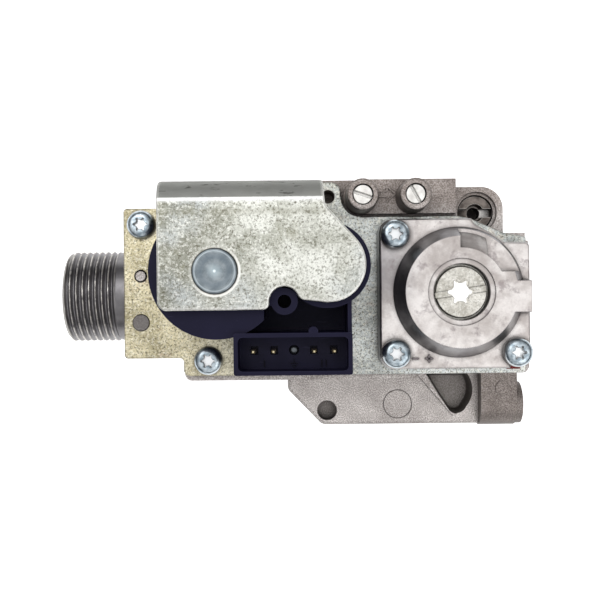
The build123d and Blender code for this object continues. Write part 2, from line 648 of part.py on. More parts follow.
# ------------------------------------------------------------------ coil block and connector
CX0, CX1 = CONNECTOR["x"]
CY0, CY1 = CONNECTOR["y"]
CW = CONNECTOR["wall"]
RECESS_FLOOR = 48.0
with BuildPart() as coil_moulding:
    # two bobbins with wider flanges on top
    for centre, drum_r, flange_r in [(COIL_1, 16.0, 16.7), (COIL_2, 10.2, 10.6)]:
        with BuildSketch(Plane.XY.offset(PLATE_TOP)):
            with Locations(centre):
                Circle(drum_r)
        extrude(amount=COIL_TOP - PLATE_TOP)
        with BuildSketch(Plane.XY.offset(COIL_TOP - 3.2)):
            with Locations(centre):
                Circle(flange_r)
        extrude(amount=3.2)
    # web between them, and the low floor towards the connector
    with BuildSketch(Plane.XY.offset(PLATE_TOP)):
        rectangle_between(-50.0, 2.2, -40.0, 13.0)
    extrude(amount=COIL_TOP - 1.0 - PLATE_TOP)
    with BuildSketch(Plane.XY.offset(PLATE_TOP)):
        rectangle_between(-57.0, CY1 - 1.0, CX1, 4.0)
    extrude(amount=RECESS_FLOOR - PLATE_TOP)
    # open recess between the coils and the connector
    with BuildSketch(Plane.XY.offset(RECESS_FLOOR)):
        rectangle_between(-51.4, CY1, -40.0, -3.0)
    extrude(amount=COIL_TOP - RECESS_FLOOR, mode=Mode.SUBTRACT)
    # connector tower and the wall that runs on to coil 2
    with BuildSketch(Plane.XY.offset(PLATE_TOP)) as tower_face:
        rectangle_between(CX0, CY0, CX1, CY1)
        fillet(tower_face.vertices(), 0.6)
    extrude(amount=CONNECTOR_TOP - PLATE_TOP)
    with BuildSketch(Plane.XY.offset(RECESS_FLOOR)):
        rectangle_between(CX1 - CW, CY1 - 0.5, CX1, 0.5)
    extrude(amount=COIL_TOP - 0.6 - RECESS_FLOOR)
    with BuildSketch(Plane.XY.offset(CONNECTOR_FLOOR)) as socket_face:
        rectangle_between(CX0 + CW, CY0 + CW, CX1 - CW, CY1 - CW)
        fillet(socket_face.vertices(), 1.2)
    extrude(amount=CONNECTOR_TOP - CONNECTOR_FLOOR, mode=Mode.SUBTRACT)
    # ring boss and the small knob on the connector's rear wall
    with BuildSketch(Plane.XY.offset(RECESS_FLOOR - 1.0)):
        with Locations(RING_BOSS):
            Circle(3.26)
    extrude(amount=COIL_TOP - RECESS_FLOOR + 1.0)
    with BuildSketch(Plane.XY.offset(COIL_TOP)):
        with Locations(RING_BOSS):
            Circle(1.7)
    extrude(amount=-14.0, mode=Mode.SUBTRACT)
    with BuildSketch(Plane.XY.offset(CONNECTOR_TOP)):
        with Locations((-39.3, CY1 + 0.35)):
            Circle(1.15)
    extrude(amount=-6.0)
    # bores for the two armature tubes and their cores
    for centre, bore_r in [(COIL_1, TUBE_1_R + TUBE_WALL + 0.1), (COIL_2, TUBE_2_R + TUBE_WALL + 0.1)]:
        with BuildSketch(Plane.XY.offset(PLATE_TOP)):
            with Locations(centre):
                Circle(bore_r)
        extrude(amount=COIL_TOP - PLATE_TOP, mode=Mode.SUBTRACT)
    # room for the windings
    for centre, winding_r, tube_r in [(COIL_1, WINDING_1_R, TUBE_1_R), (COIL_2, WINDING_2_R, TUBE_2_R)]:
        with BuildSketch(Plane.XY.offset(WINDING_BOTTOM)):
            with Locations(centre):
                Circle(winding_r)
                Circle(tube_r + TUBE_WALL + BOBBIN_WALL, mode=Mode.SUBTRACT)
        extrude(amount=WINDING_TOP - WINDING_BOTTOM, mode=Mode.SUBTRACT)
    # wells and slots of the pins
    with BuildSketch(Plane.XY.offset(CONNECTOR_FLOOR)):
        with Locations(*[(x, PIN_Y) for x in PIN_XS]):
            Rectangle(2.0, 2.2)
        with Locations((EARTH_X, PIN_Y)):
            Circle(1.35)
    extrude(amount=-WELL_DEPTH, mode=Mode.SUBTRACT)
    with BuildSketch(Plane.XY.offset(CONNECTOR_FLOOR - WELL_DEPTH)):
        with Locations(*[(x, PIN_Y) for x in PIN_XS]):
            Rectangle(PIN_SIZE, PIN_SIZE)
        with Locations((EARTH_X, PIN_Y)):
            Circle(EARTH_R)
    extrude(amount=PIN_SEAT - CONNECTOR_FLOOR + WELL_DEPTH, mode=Mode.SUBTRACT)
keep(coil_moulding, "coil_moulding")

with BuildPart() as terminal_pins:
    with BuildSketch(Plane.XY.offset(PIN_SEAT)):
        with Locations(*[(x, PIN_Y) for x in PIN_XS]):
            Rectangle(PIN_SIZE, PIN_SIZE)
    extrude(amount=PIN_TIP - PIN_SEAT)
    chamfer(terminal_pins.faces().filter_by(Plane.XY).group_by(Axis.Z)[-1].edges(), 0.25)
keep(terminal_pins, "terminal_pins")

with BuildPart() as earth_contact:
    with BuildSketch(Plane.XY.offset(PIN_SEAT)):
        with Locations((EARTH_X, PIN_Y)):
            Circle(EARTH_R)
    extrude(amount=CONNECTOR_FLOOR - 0.3 - PIN_SEAT)
    fillet(earth_contact.faces().sort_by(Axis.Z)[-1].edges(), 0.6)
keep(earth_contact, "earth_contact")

# ------------------------------------------------------------------ steel yoke over the coils
YOKE_LEFT = -77.0
YOKE_BACK = 27.9
YOKE_FRONT = -4.0
BEND_R = 5.2
ARC_R = 9.24
with BuildPart() as coil_yoke:
    # bent strip: top leg, bend, back leg standing on the cover plate
    with BuildSketch(Plane.YZ.offset(YOKE_LEFT)):
        with BuildLine():
            Polyline((YOKE_BACK - YOKE_T, PLATE_TOP), (YOKE_BACK, PLATE_TOP), (YOKE_BACK, YOKE_TOP - BEND_R))
            RadiusArc((YOKE_BACK, YOKE_TOP - BEND_R), (YOKE_BACK - BEND_R, YOKE_TOP), -BEND_R)
            Polyline((YOKE_BACK - BEND_R, YOKE_TOP), (-5.0, YOKE_TOP), (-5.0, YOKE_BOTTOM),
                     (YOKE_BACK - BEND_R, YOKE_BOTTOM))
            RadiusArc((YOKE_BACK - BEND_R, YOKE_BOTTOM), (YOKE_BACK - YOKE_T, YOKE_TOP - BEND_R),
                      BEND_R - YOKE_T)
            Line((YOKE_BACK - YOKE_T, YOKE_TOP - BEND_R), (YOKE_BACK - YOKE_T, PLATE_TOP))
        make_face()
    extrude(amount=55.0)
    # trimmed in plan
    with BuildSketch(Plane.XY.offset(PLATE_TOP)) as yoke_face:
        rectangle_between(YOKE_LEFT, YOKE_FRONT, RING_BOSS[0] - 0.7, YOKE_BACK)
        outline([(-51.0, YOKE_BACK), (-36.7, YOKE_BACK), (-36.2, 21.3), (-28.9, 13.3),
                 (COIL_2[0], COIL_2[1]), (COIL_2[0], COIL_2[1] - ARC_R), (-43.5, -1.5), (-51.0, -1.5)])
        with Locations(COIL_2):
            Circle(ARC_R)
        with Locations(RING_BOSS):
            Circle(3.6, mode=Mode.SUBTRACT)
        with Locations(COIL_1):
            Circle(RIVET_SHANK_R + 0.02, mode=Mode.SUBTRACT)
        round_corners(yoke_face, [(YOKE_LEFT, YOKE_FRONT)], 2.3)
        round_corners(yoke_face, [(-49.3, YOKE_FRONT)], 1.6)
        round_corners(yoke_face, [(-42.7, -1.6)], 2.0)
        round_corners(yoke_face, [(-36.2, 21.3)], 3.0)
    extrude(amount=YOKE_TOP - PLATE_TOP, mode=Mode.INTERSECT)
    # punched edges are rounded on top, up to the bend
    top_rim = coil_yoke.faces().filter_by(Plane.XY).sort_by(Axis.Z)[-1].outer_wire().edges()
    fillet(top_rim.filter_by(lambda e: e.center().Y < YOKE_BACK - BEND_R - 0.1), 0.45)
keep(coil_yoke, "coil_yoke")

# ------------------------------------------------------------------ test screws and their seals
for side, centre in NIPPLE_XY.items():
    with BuildPart() as test_seal:
        with BuildSketch(Plane.XY.offset(NIPPLE_SEAT)):
            with Locations(centre):
                Circle(1.6)
        extrude(amount=TEST_SEAL_T, taper=-14)
    keep(test_seal, f"test_seal_{side}")

    with BuildPart() as test_screw:
        with BuildSketch(Plane.XY.offset(NIPPLE_SEAT + TEST_SEAL_T)):
            with Locations(centre):
                Circle(TEST_SCREW_R)
        extrude(amount=TEST_SCREW_L)
        chamfer(test_screw.faces().sort_by(Axis.Z)[-1].edges(), 0.25)
        with BuildSketch(Plane.XY.offset(NIPPLE_SEAT + TEST_SEAL_T + TEST_SCREW_L)):
            with Locations(Location((*centre, 0), NIPPLE_SLOT_ANGLE[side])):
                Rectangle(2 * TEST_SCREW_R + 1.0, 0.8)
        extrude(amount=-1.1, mode=Mode.SUBTRACT)
    keep(test_screw, f"test_screw_{side}")

# ------------------------------------------------------------------ blanking plug
with BuildPart() as blanking_plug:
    with BuildSketch(Plane.XY.offset(PLUG_BOTTOM)):
        with Locations(PLUG_XY):
            Circle(PLUG_R - 0.04)
    extrude(amount=PLUG_TOP - PLUG_BOTTOM)
    chamfer(blanking_plug.faces().sort_by(Axis.Z)[-1].edges(), 0.3)
    with BuildSketch(Plane.XY.offset(PLUG_TOP)):
        with Locations(PLUG_XY):
            Rectangle(10.2, 2.45)
    extrude(amount=-2.6, mode=Mode.SUBTRACT)
    with BuildSketch(Plane.XY.offset(PLUG_TOP)):
        with Locations(PLUG_XY):
            Circle(2.6)
    extrude(amount=-2.6, mode=Mode.SUBTRACT, taper=10)
    with BuildSketch(Plane.XY.offset(PLUG_TOP)):
        with Locations(PLUG_XY):
            Circle(1.85)
    extrude(amount=-7.5, mode=Mode.SUBTRACT)
keep(blanking_plug, "blanking_plug")

# ------------------------------------------------------------------ pressure regulator
HOUSING_OUTLINE = [
    (-21.1, -20.5), (13.8, -20.5), (13.8, -19.5), (19.2, -19.5), (19.2, 13.2), (12.3, 13.4),
    (8.3, 16.2), (4.6, 18.2), (3.6, 19.8), (-21.1, 19.8),
]
NOTCH_X = -0.3
RAMP_X = 7.1
RAMP_H = 4.8
ARM_Y = (-5.8, 5.3)
INNER_WALL_R = 11.7

# rubber diaphragm: its rim seals the housing, and a lip shows at one corner
with BuildPart() as regulator_diaphragm:
    with BuildSketch(Plane.XY.offset(PLATE_TOP)) as rim_face:
        rectangle_between(-20.4, -19.9, 18.6, 12.6)
        rectangle_between(-20.4, 10.0, 3.0, 19.2)
        round_corners(rim_face, [(-20.4, -19.9), (-20.4, 19.2)], 3.6)
        rectangle_between(14.6, -21.3, 18.3, -18.0)
        with Locations(*HOUSING_SCREWS):
            Circle(SCREW_CLEAR_R, mode=Mode.SUBTRACT)
        Circle(CONVOLUTION_AT + CONVOLUTION_R, mode=Mode.SUBTRACT)
        Circle(CONVOLUTION_AT - CONVOLUTION_R)
        Circle(STEM_R + 0.05, mode=Mode.SUBTRACT)
    extrude(amount=DIAPHRAGM_T)
    # half-round convolution that lets the centre rise and fall
    with BuildSketch(Plane.XZ):
        with Locations((CONVOLUTION_AT, PLATE_TOP)):
            Circle(CONVOLUTION_R + DIAPHRAGM_T / 2)
            Circle(CONVOLUTION_R - DIAPHRAGM_T / 2, mode=Mode.SUBTRACT)
        rectangle_between(0.0, PLATE_BOTTOM - 4.0, 20.0, PLATE_TOP, mode=Mode.SUBTRACT)
    revolve(axis=Axis.Z)
keep(regulator_diaphragm, "regulator_diaphragm")

with BuildPart() as sector_ramp:
    with Locations((0, 0, HOUSING_TOP)):
        Cone(TURRET_R - 0.1, INNER_WALL_R, RAMP_H, align=(Align.CENTER, Align.CENTER, Align.MIN))
    with BuildSketch(Plane.XY.offset(HOUSING_TOP)):
        rectangle_between(NOTCH_X - 0.3, SPRING_BORE_R + 1.5, RAMP_X, 20.0)
    extrude(amount=RAMP_H, mode=Mode.INTERSECT)

with BuildPart() as regulator_housing:
    with BuildSketch(Plane.XY.offset(HOUSING_BOTTOM)) as housing_face:
        outline(HOUSING_OUTLINE)
        round_corners(housing_face, [(-21.1, -20.5), (-21.1, 19.8)], 3.8)
        round_corners(housing_face, [(19.2, 13.2), (19.2, -19.5)], 1.2)
        round_corners(housing_face, [(4.6, 18.2), (12.3, 13.4)], 1.5)
    extrude(amount=HOUSING_TOP - HOUSING_BOTTOM)
    fillet(regulator_housing.faces().sort_by(Axis.Z)[-1].edges(), 0.7)
    # conical turret
    with Locations((0, 0, HOUSING_TOP)):
        Cone(TURRET_R, TURRET_TOP_R, TURRET_TOP - HOUSING_TOP, align=(Align.CENTER, Align.CENTER, Align.MIN))
    # lowered sector behind the arm
    with BuildSketch(Plane.XY.offset(HOUSING_TOP + 1.2)):
        rectangle_between(NOTCH_X, ARM_Y[1], 20.0, 20.0)
        Circle(INNER_WALL_R, mode=Mode.SUBTRACT)
    extrude(amount=TURRET_TOP - HOUSING_TOP, mode=Mode.SUBTRACT)
    # arm to the right-hand edge
    with BuildSketch(Plane.XY.offset(HOUSING_TOP - 1.0)):
        outline([(8.0, ARM_Y[0]), (18.7, ARM_Y[0]), (18.7, 3.3), (14.8, 3.3), (13.6, ARM_Y[1]),
                 (8.0, ARM_Y[1])])
    extrude(amount=TURRET_TOP - HOUSING_TOP + 1.0, taper=4)
    # step ring and spring bore, diaphragm chamber below
    with BuildSketch(Plane.XY.offset(TURRET_TOP)):
        Circle(8.85)
    extrude(amount=-0.3, mode=Mode.SUBTRACT)
    with BuildSketch(Plane.XY.offset(TURRET_TOP)):
        Circle(SPRING_BORE_R)
    extrude(amount=GOVERNOR_CHAMBER_TOP - TURRET_TOP, mode=Mode.SUBTRACT)
    with BuildSketch(Plane.XY.offset(HOUSING_BOTTOM)):
        Circle(GOVERNOR_CHAMBER_R)
    extrude(amount=GOVERNOR_CHAMBER_TOP - HOUSING_BOTTOM, mode=Mode.SUBTRACT)
    with BuildSketch(Plane.XY.offset(HOUSING_BOTTOM)):
        with Locations(*HOUSING_SCREWS):
            Circle(SCREW_CLEAR_R)
    extrude(amount=HOUSING_TOP - HOUSING_BOTTOM, mode=Mode.SUBTRACT)
    # sloping face in the sector, next to the notch
    add(sector_ramp.part)
keep(regulator_housing, "regulator_housing")

pan_screws("housing_screws", HOUSING_SCREWS, HOUSING_TOP, SCREW_TIP)

with BuildPart() as adjusting_screw:
    with BuildSketch(Plane.XY.offset(ADJUSTER_BOTTOM)):
        Circle(SPRING_BORE_R - 0.08)
    extrude(amount=ADJUSTER_SHOULDER)
    with BuildSketch(Plane.XY.offset(ADJUSTER_BOTTOM + ADJUSTER_SHOULDER)):
        Circle(6.85)
    extrude(amount=ADJUSTER_TOP - ADJUSTER_BOTTOM - ADJUSTER_SHOULDER)
    chamfer(adjusting_screw.faces().sort_by(Axis.Z)[-1].edges(), 0.25)
    with BuildSketch(Plane.XY.offset(ADJUSTER_BOTTOM)):
        torx_face(KEY_TIP_R, KEY_ROOT_R)
    extrude(amount=ADJUSTER_TOP - ADJUSTER_BOTTOM, mode=Mode.SUBTRACT)
    with BuildSketch(Plane.XY.offset(ADJUSTER_TOP).rotated((0, 0, 7.8))):
        Rectangle(2 * SPRING_BORE_R, 1.75)
    extrude(amount=-0.7, mode=Mode.SUBTRACT)
keep(adjusting_screw, "adjusting_screw")

with BuildPart() as spring_seat:
    with BuildSketch(Plane.XY.offset(ADJUSTER_BOTTOM - SPRING_SEAT_T)):
        Circle(6.6)
    extrude(amount=SPRING_SEAT_T)
    with BuildSketch(Plane.XY.offset(ADJUSTER_BOTTOM)):
        Circle(KEY_ROOT_R - 0.1)
    extrude(amount=2.4)
    fillet(spring_seat.faces().sort_by(Axis.Z)[-1].edges(), 0.5)
keep(spring_seat, "spring_seat")

coil_spring("regulator_spring", (0, 0), HOUSING_BOTTOM + DIAPHRAGM_PLATE_T,
            ADJUSTER_BOTTOM - SPRING_SEAT_T, 5.0, 0.5, 3)

with BuildPart() as diaphragm_plate:
    with BuildSketch(Plane.XY.offset(HOUSING_BOTTOM)):
        Circle(7.8)
    extrude(amount=DIAPHRAGM_PLATE_T)
    chamfer(diaphragm_plate.faces().sort_by(Axis.Z)[-1].edges(), 0.3)
keep(diaphragm_plate, "diaphragm_plate")

with BuildPart() as governor_stem:
    with BuildSketch(Plane.XY.offset(THROTTLE_DISC_TOP)):
        Circle(STEM_R)
    extrude(amount=HOUSING_BOTTOM - THROTTLE_DISC_TOP)
    with BuildSketch(Plane.XY.offset(PLATE_TOP - STEM_FOOT_T)):
        Circle(7.5)
    extrude(amount=STEM_FOOT_T)
keep(governor_stem, "governor_stem")

with BuildPart() as throttle_disc:
    with BuildSketch(Plane.XY.offset(THROTTLE_DISC_TOP - THROTTLE_DISC_T)):
        Circle(THROTTLE_DISC_R)
    extrude(amount=THROTTLE_DISC_T)
    fillet(throttle_disc.faces().sort_by(Axis.Z)[0].edges(), 0.8)
keep(throttle_disc, "throttle_disc")

with BuildPart() as outlet_o_ring:
    with Locations((0, 0, O_RING_SECTION + 0.05)):
        Torus(O_RING_R, O_RING_SECTION)
keep(outlet_o_ring, "outlet_o_ring")
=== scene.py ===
"""Studio picture of a gas control valve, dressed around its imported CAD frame.

Metres. The frame's origin is the outlet axis on the cast base, +X runs from the threaded inlet to the
regulator and +Z points up to the coils. Sizes given to a Finish are in millimetres, its centres and
the mesh helpers' arguments in metres.
"""
import math

import bmesh
import bpy
from mathutils import Matrix, Vector


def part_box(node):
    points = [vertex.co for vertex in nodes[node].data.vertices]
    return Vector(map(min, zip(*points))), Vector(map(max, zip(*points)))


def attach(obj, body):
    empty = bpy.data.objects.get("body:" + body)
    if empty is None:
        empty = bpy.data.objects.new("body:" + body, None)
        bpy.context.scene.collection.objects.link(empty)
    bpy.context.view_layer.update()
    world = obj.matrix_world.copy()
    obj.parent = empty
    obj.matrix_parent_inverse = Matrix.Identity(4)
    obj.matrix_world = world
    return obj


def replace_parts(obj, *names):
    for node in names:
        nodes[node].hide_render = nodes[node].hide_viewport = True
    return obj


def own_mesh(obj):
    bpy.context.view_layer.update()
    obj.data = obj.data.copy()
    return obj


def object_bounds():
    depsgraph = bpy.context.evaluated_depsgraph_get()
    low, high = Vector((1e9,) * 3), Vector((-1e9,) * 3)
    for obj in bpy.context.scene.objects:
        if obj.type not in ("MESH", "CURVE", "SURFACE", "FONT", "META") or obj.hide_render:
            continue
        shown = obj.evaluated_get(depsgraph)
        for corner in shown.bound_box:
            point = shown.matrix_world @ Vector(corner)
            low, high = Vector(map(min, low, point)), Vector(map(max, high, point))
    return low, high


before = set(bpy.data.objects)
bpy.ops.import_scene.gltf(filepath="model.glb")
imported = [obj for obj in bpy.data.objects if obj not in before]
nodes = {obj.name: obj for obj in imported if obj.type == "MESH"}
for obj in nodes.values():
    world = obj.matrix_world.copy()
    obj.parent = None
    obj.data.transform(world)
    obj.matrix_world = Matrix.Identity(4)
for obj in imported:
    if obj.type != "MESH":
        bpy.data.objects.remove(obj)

MM = 0.001
cad_box = [list(corner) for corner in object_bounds()]


def centre_of(node):
    """Middle of a CAD node's box."""
    low, high = (Vector(corner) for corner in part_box(node))
    return (low + high) / 2


def top_of(node):
    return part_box(node)[1][2]


def tint(code):
    """Linear colour from a web colour code."""
    channels = [int(code[i:i + 2], 16) / 255 for i in (0, 2, 4)]
    linear = [c / 12.92 if c <= 0.04045 else ((c + 0.055) / 1.055) ** 2.4 for c in channels]
    return (*linear, 1.0)


# ------------------------------------------------------------------ material helpers
class Finish:
    """A Principled material, with short calls that put texture nodes in front of it."""

    def __init__(self, name, metallic=0.0, roughness=0.5):
        self.material = bpy.data.materials.new(name)
        self.material.use_nodes = True
        self.tree = self.material.node_tree
        self.shader = self.tree.nodes["Principled BSDF"]
        self.shader.inputs["Metallic"].default_value = metallic
        self.shader.inputs["Roughness"].default_value = roughness
        self.place = self.tree.nodes.new("ShaderNodeTexCoord").outputs["Object"]

    def feed(self, socket, value):
        """Link a socket's input, or set it when the value is a plain number or colour."""
        if isinstance(value, bpy.types.NodeSocket):
            self.tree.links.new(value, socket)
        else:
            socket.default_value = value

    def noise(self, size, detail=3.0, roughness=0.6, stretch=(1, 1, 1), turn=0.0):
        """Noise with features of about the given size, optionally drawn out along turned axes."""
        texture = self.tree.nodes.new("ShaderNodeTexNoise")
        texture.inputs["Scale"].default_value = 1 / (size * MM)
        texture.inputs["Detail"].default_value = detail
        texture.inputs["Roughness"].default_value = roughness
        mapping = self.tree.nodes.new("ShaderNodeMapping")
        mapping.inputs["Scale"].default_value = stretch
        mapping.inputs["Rotation"].default_value = (0, 0, math.radians(turn))
        self.feed(mapping.inputs["Vector"], self.place)
        self.feed(texture.inputs["Vector"], mapping.outputs["Vector"])
        return texture.outputs["Fac"]

    def cells(self, size):
        """Random grey level for each crystal-like cell."""
        texture = self.tree.nodes.new("ShaderNodeTexVoronoi")
        texture.inputs["Scale"].default_value = 1 / (size * MM)
        self.feed(texture.inputs["Vector"], self.place)
        return self.axis_of(texture.outputs["Color"], "X")

    def axis_of(self, vector, axis):
        split = self.tree.nodes.new("ShaderNodeSeparateXYZ")
        self.feed(split.inputs[0], vector)
        return split.outputs[axis]

    def along(self, axis):
        """The place along one axis, in millimetres."""
        return self.sum("MULTIPLY", self.axis_of(self.place, axis), 1 / MM)

    def sum(self, operation, a, b=0.0):
        node = self.tree.nodes.new("ShaderNodeMath")
        node.operation = operation
        self.feed(node.inputs[0], a)
        self.feed(node.inputs[1], b)
        return node.outputs[0]

    def radius(self, centre):
        """Distance from an upright axis, in millimetres."""
        dx = self.sum("SUBTRACT", self.along("X"), centre[0] / MM)
        dy = self.sum("SUBTRACT", self.along("Y"), centre[1] / MM)
        squares = self.sum("ADD", self.sum("MULTIPLY", dx, dx), self.sum("MULTIPLY", dy, dy))
        return self.sum("SQRT", squares)

    def turned(self, centre, pitch):
        """Lathe rings about an upright axis."""
        return self.sum("SINE", self.sum("MULTIPLY", self.radius(centre), 2 * math.pi / pitch))

    def mask(self, value, low, high):
        """0 at low and 1 at high, with a smooth step between."""
        node = self.tree.nodes.new("ShaderNodeMapRange")
        node.interpolation_type = "SMOOTHSTEP"
        self.feed(node.inputs["Value"], value)
        node.inputs["From Min"].default_value = low
        node.inputs["From Max"].default_value = high
        return node.outputs["Result"]

    def level(self, value, low, high):
        """Plain rescale of a 0 to 1 value."""
        node = self.tree.nodes.new("ShaderNodeMapRange")
        self.feed(node.inputs["Value"], value)
        node.inputs["To Min"].default_value = low
        node.inputs["To Max"].default_value = high
        return node.outputs["Result"]

    def mix(self, factor, a, b, blend="MIX"):
        node = self.tree.nodes.new("ShaderNodeMix")
        node.data_type = "RGBA"
        node.blend_type = blend
        self.feed(node.inputs[0], factor)
        self.feed(node.inputs[6], a)
        self.feed(node.inputs[7], b)
        return node.outputs[2]

    def edges(self, width, low=0.01, high=0.2):
        """1 along sharp edges; low and high set how sharp."""
        bevel = self.tree.nodes.new("ShaderNodeBevel")
        bevel.samples = 4
        bevel.inputs["Radius"].default_value = width * MM
        geometry = self.tree.nodes.new("ShaderNodeNewGeometry")
        dot = self.tree.nodes.new("ShaderNodeVectorMath")
        dot.operation = "DOT_PRODUCT"
        self.feed(dot.inputs[0], bevel.outputs["Normal"])
        self.feed(dot.inputs[1], geometry.outputs["Normal"])
        return self.mask(self.sum("SUBTRACT", 1.0, dot.outputs["Value"]), low, high)

    def steep(self, flat=0.85, upright=0.45):
        """1 on upright faces, 0 on level ones."""
        geometry = self.tree.nodes.new("ShaderNodeNewGeometry")
        level = self.sum("ABSOLUTE", self.axis_of(geometry.outputs["Normal"], "Z"))
        return self.sum("SUBTRACT", 1.0, self.mask(level, upright, flat))

    def ring(self, centre, inner, outer, soft=0.12):
        """1 between two radii about an upright axis, in millimetres."""
        radius = self.radius(centre)
        inside = self.sum("SUBTRACT", 1.0, self.mask(radius, outer - soft, outer + soft))
        return self.sum("MULTIPLY", self.mask(radius, inner - soft, inner + soft), inside)

    def speckle(self, colour, dark, light, strength):
        """Fine crystalline speckle of plated steel: clustered dark specks and light facets."""
        clusters = self.level(self.noise(3.0, detail=4, roughness=0.65), 0.4, 1.4)
        specks = self.mask(self.noise(0.62, detail=4, roughness=0.9), 0.5, 0.6)
        specks = self.sum("MULTIPLY", self.sum("MULTIPLY", specks, clusters), strength)
        facets = self.mask(self.noise(0.7, detail=4, roughness=0.85), 0.48, 0.62)
        colour = self.mix(self.sum("MULTIPLY", facets, 0.6), colour, light)
        return self.mix(specks, colour, dark)

    def corners(self, reach, low=0.25, high=0.85):
        """1 in tight inner corners; low and high set how tight."""
        node = self.tree.nodes.new("ShaderNodeAmbientOcclusion")
        node.samples = 4
        node.inputs["Distance"].default_value = reach * MM
        return self.mask(self.sum("SUBTRACT", 1.0, node.outputs["AO"]), low, high)

    def bump(self, height, strength, depth):
        """Adds relief; calls pile up on the shader's normal."""
        node = self.tree.nodes.new("ShaderNodeBump")
        node.inputs["Strength"].default_value = strength
        node.inputs["Distance"].default_value = depth * MM
        self.feed(node.inputs["Height"], height)
        normal = self.shader.inputs["Normal"]
        if normal.is_linked:
            self.feed(node.inputs["Normal"], normal.links[0].from_socket)
        self.feed(normal, node.outputs["Normal"])

    def colour(self, value):
        self.feed(self.shader.inputs["Base Color"], value)

    def roughness(self, value):
        self.feed(self.shader.inputs["Roughness"], value)


def glow(material, strength):
    """Let a pale surface give off a little white light of its own."""
    shader = material.node_tree.nodes["Principled BSDF"]
    shader.inputs["Emission Color"].default_value = (1, 1, 1, 1)
    shader.inputs["Emission Strength"].default_value = strength


def paint(material, *names):
    """Give CAD nodes a material."""
    for name in names:
        mesh = nodes[name].data
        mesh.materials.clear()
        mesh.materials.append(material)


# ------------------------------------------------------------------ materials
# Places where a finish changes, in millimetres: the first number is where the change starts.
LARGE_POST, LARGE_POST_R = (-86.6 * MM, -7.55 * MM), (2.3, 2.5)
SHELF_Y = (19.0, 27.0)
SIDE_BLOCK_X, SIDE_BLOCK_Y = (10.4, 10.8), (17.5, 16.5)     # Y counts from the body's low side
SUNK_Z, SUNK_Y = (15.4, 12.4), (-23, -24.5)                 # painted shade on the sunk floor in the bracket, darker towards its bottom
YOKE_BEND = 4.6                                             # from the yoke's back face
THREAD_CREST_R = (12.95, 13.2)


def cast_aluminium():
    f = Finish("cast_aluminium", metallic=0.85)
    patches = f.noise(11, detail=4)
    grain = f.noise(0.32, detail=4, roughness=0.75)
    specks = f.mask(f.noise(0.5, detail=3, roughness=0.7), 0.60, 0.72)
    colour = f.mix(f.mask(patches, 0.3, 0.7), tint("d2ccc9"), tint("f6f1ee"))
    colour = f.mix(f.mask(grain, 0.4, 0.62), f.mix(1.0, colour, tint("aaa5a1"), "MULTIPLY"), colour)
    colour = f.mix(f.sum("MULTIPLY", specks, 0.6), colour, tint("6b6662"))
    # painted shade: the shelf end of the body is darkened, with patchy variation
    shelf = f.mask(f.along("Y"), *SHELF_Y)
    shelf_shade = f.mix(f.level(patches, 0.25, 0.75), tint("bdb7b3"), tint("e4deda"))
    colour = f.mix(f.sum("MULTIPLY", shelf, 0.9), colour, f.mix(1.0, colour, shelf_shade, "MULTIPLY"))
    port_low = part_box("valve_body")[0][1] / MM
    near_port = f.mask(f.along("Y"), port_low + SIDE_BLOCK_Y[0], port_low + SIDE_BLOCK_Y[1])
    block = f.sum("MULTIPLY", f.mask(f.along("X"), *SIDE_BLOCK_X), near_port)
    colour = f.mix(f.sum("MULTIPLY", block, 0.9), colour, f.mix(1.0, colour, tint("b5afab"), "MULTIPLY"))
    post = f.sum("SUBTRACT", 1.0, f.mask(f.radius(LARGE_POST), *LARGE_POST_R))
    colour = f.mix(f.sum("MULTIPLY", post, 0.8), colour, tint("5e5a58"))
    # painted shade: the sunk floor in the bracket darkens towards its bottom
    sunk = f.sum("MULTIPLY", f.mask(f.along("Z"), *SUNK_Z), f.mask(f.along("Y"), *SUNK_Y))
    colour = f.mix(f.sum("MULTIPLY", sunk, 0.7), colour, tint("59544f"))
    # painted shade in inner corners and on upright faces
    colour = f.mix(f.sum("MULTIPLY", f.corners(3.0), 0.8), colour, tint("322e2c"))
    colour = f.mix(f.sum("MULTIPLY", f.corners(0.6), 0.7), colour, tint("35302e"))
    colour = f.mix(f.sum("MULTIPLY", f.steep(), 0.6), colour, tint("4a4542"))
    # darker along edges in broken patches: partly dirt, partly painted shade on the edges
    edge_grime_and_shade = f.sum("MULTIPLY", f.edges(0.3), f.mask(f.noise(1.6), 0.3, 0.55))
    colour = f.mix(f.sum("MULTIPLY", edge_grime_and_shade, 0.55), colour, tint("46413f"))
    f.colour(colour)
    f.roughness(f.level(grain, 0.36, 0.62))
    f.bump(grain, 0.5, 0.12)
    f.bump(f.noise(2.4, detail=2), 0.25, 0.25)
    return f.material


def plug_casting():
    f = Finish("plug_casting", metallic=0.85)
    grain = f.noise(0.4, detail=4, roughness=0.7)
    colour = f.mix(f.mask(f.noise(2.5), 0.35, 0.65), tint("5a534e"), tint("8b827b"))
    colour = f.mix(f.mask(grain, 0.55, 0.75), colour, tint("433d39"))
    plug_y = centre_of("blanking_plug")[1] / MM
    # painted highlight on the lit side of the slot
    slot = f.sum("MULTIPLY", f.ring(centre_of("blanking_plug"), 1.9, 4.6), f.mask(f.along("X"), 8.0, 9.0))
    in_slot = f.mask(f.sum("ABSOLUTE", f.sum("SUBTRACT", f.along("Y"), plug_y)), 1.2, 0.9)
    colour = f.mix(f.sum("MULTIPLY", slot, in_slot), colour, tint("f2eeea"))
    # painted highlight along the edges
    colour = f.mix(f.sum("MULTIPLY", f.edges(0.3), 0.8), colour, tint("dedad5"))
    # painted shade in the hole and inner corners, near black
    f.colour(f.mix(f.corners(4.0), colour, tint("050404")))
    f.roughness(f.level(grain, 0.28, 0.5))
    f.bump(grain, 0.3, 0.08)
    return f.material


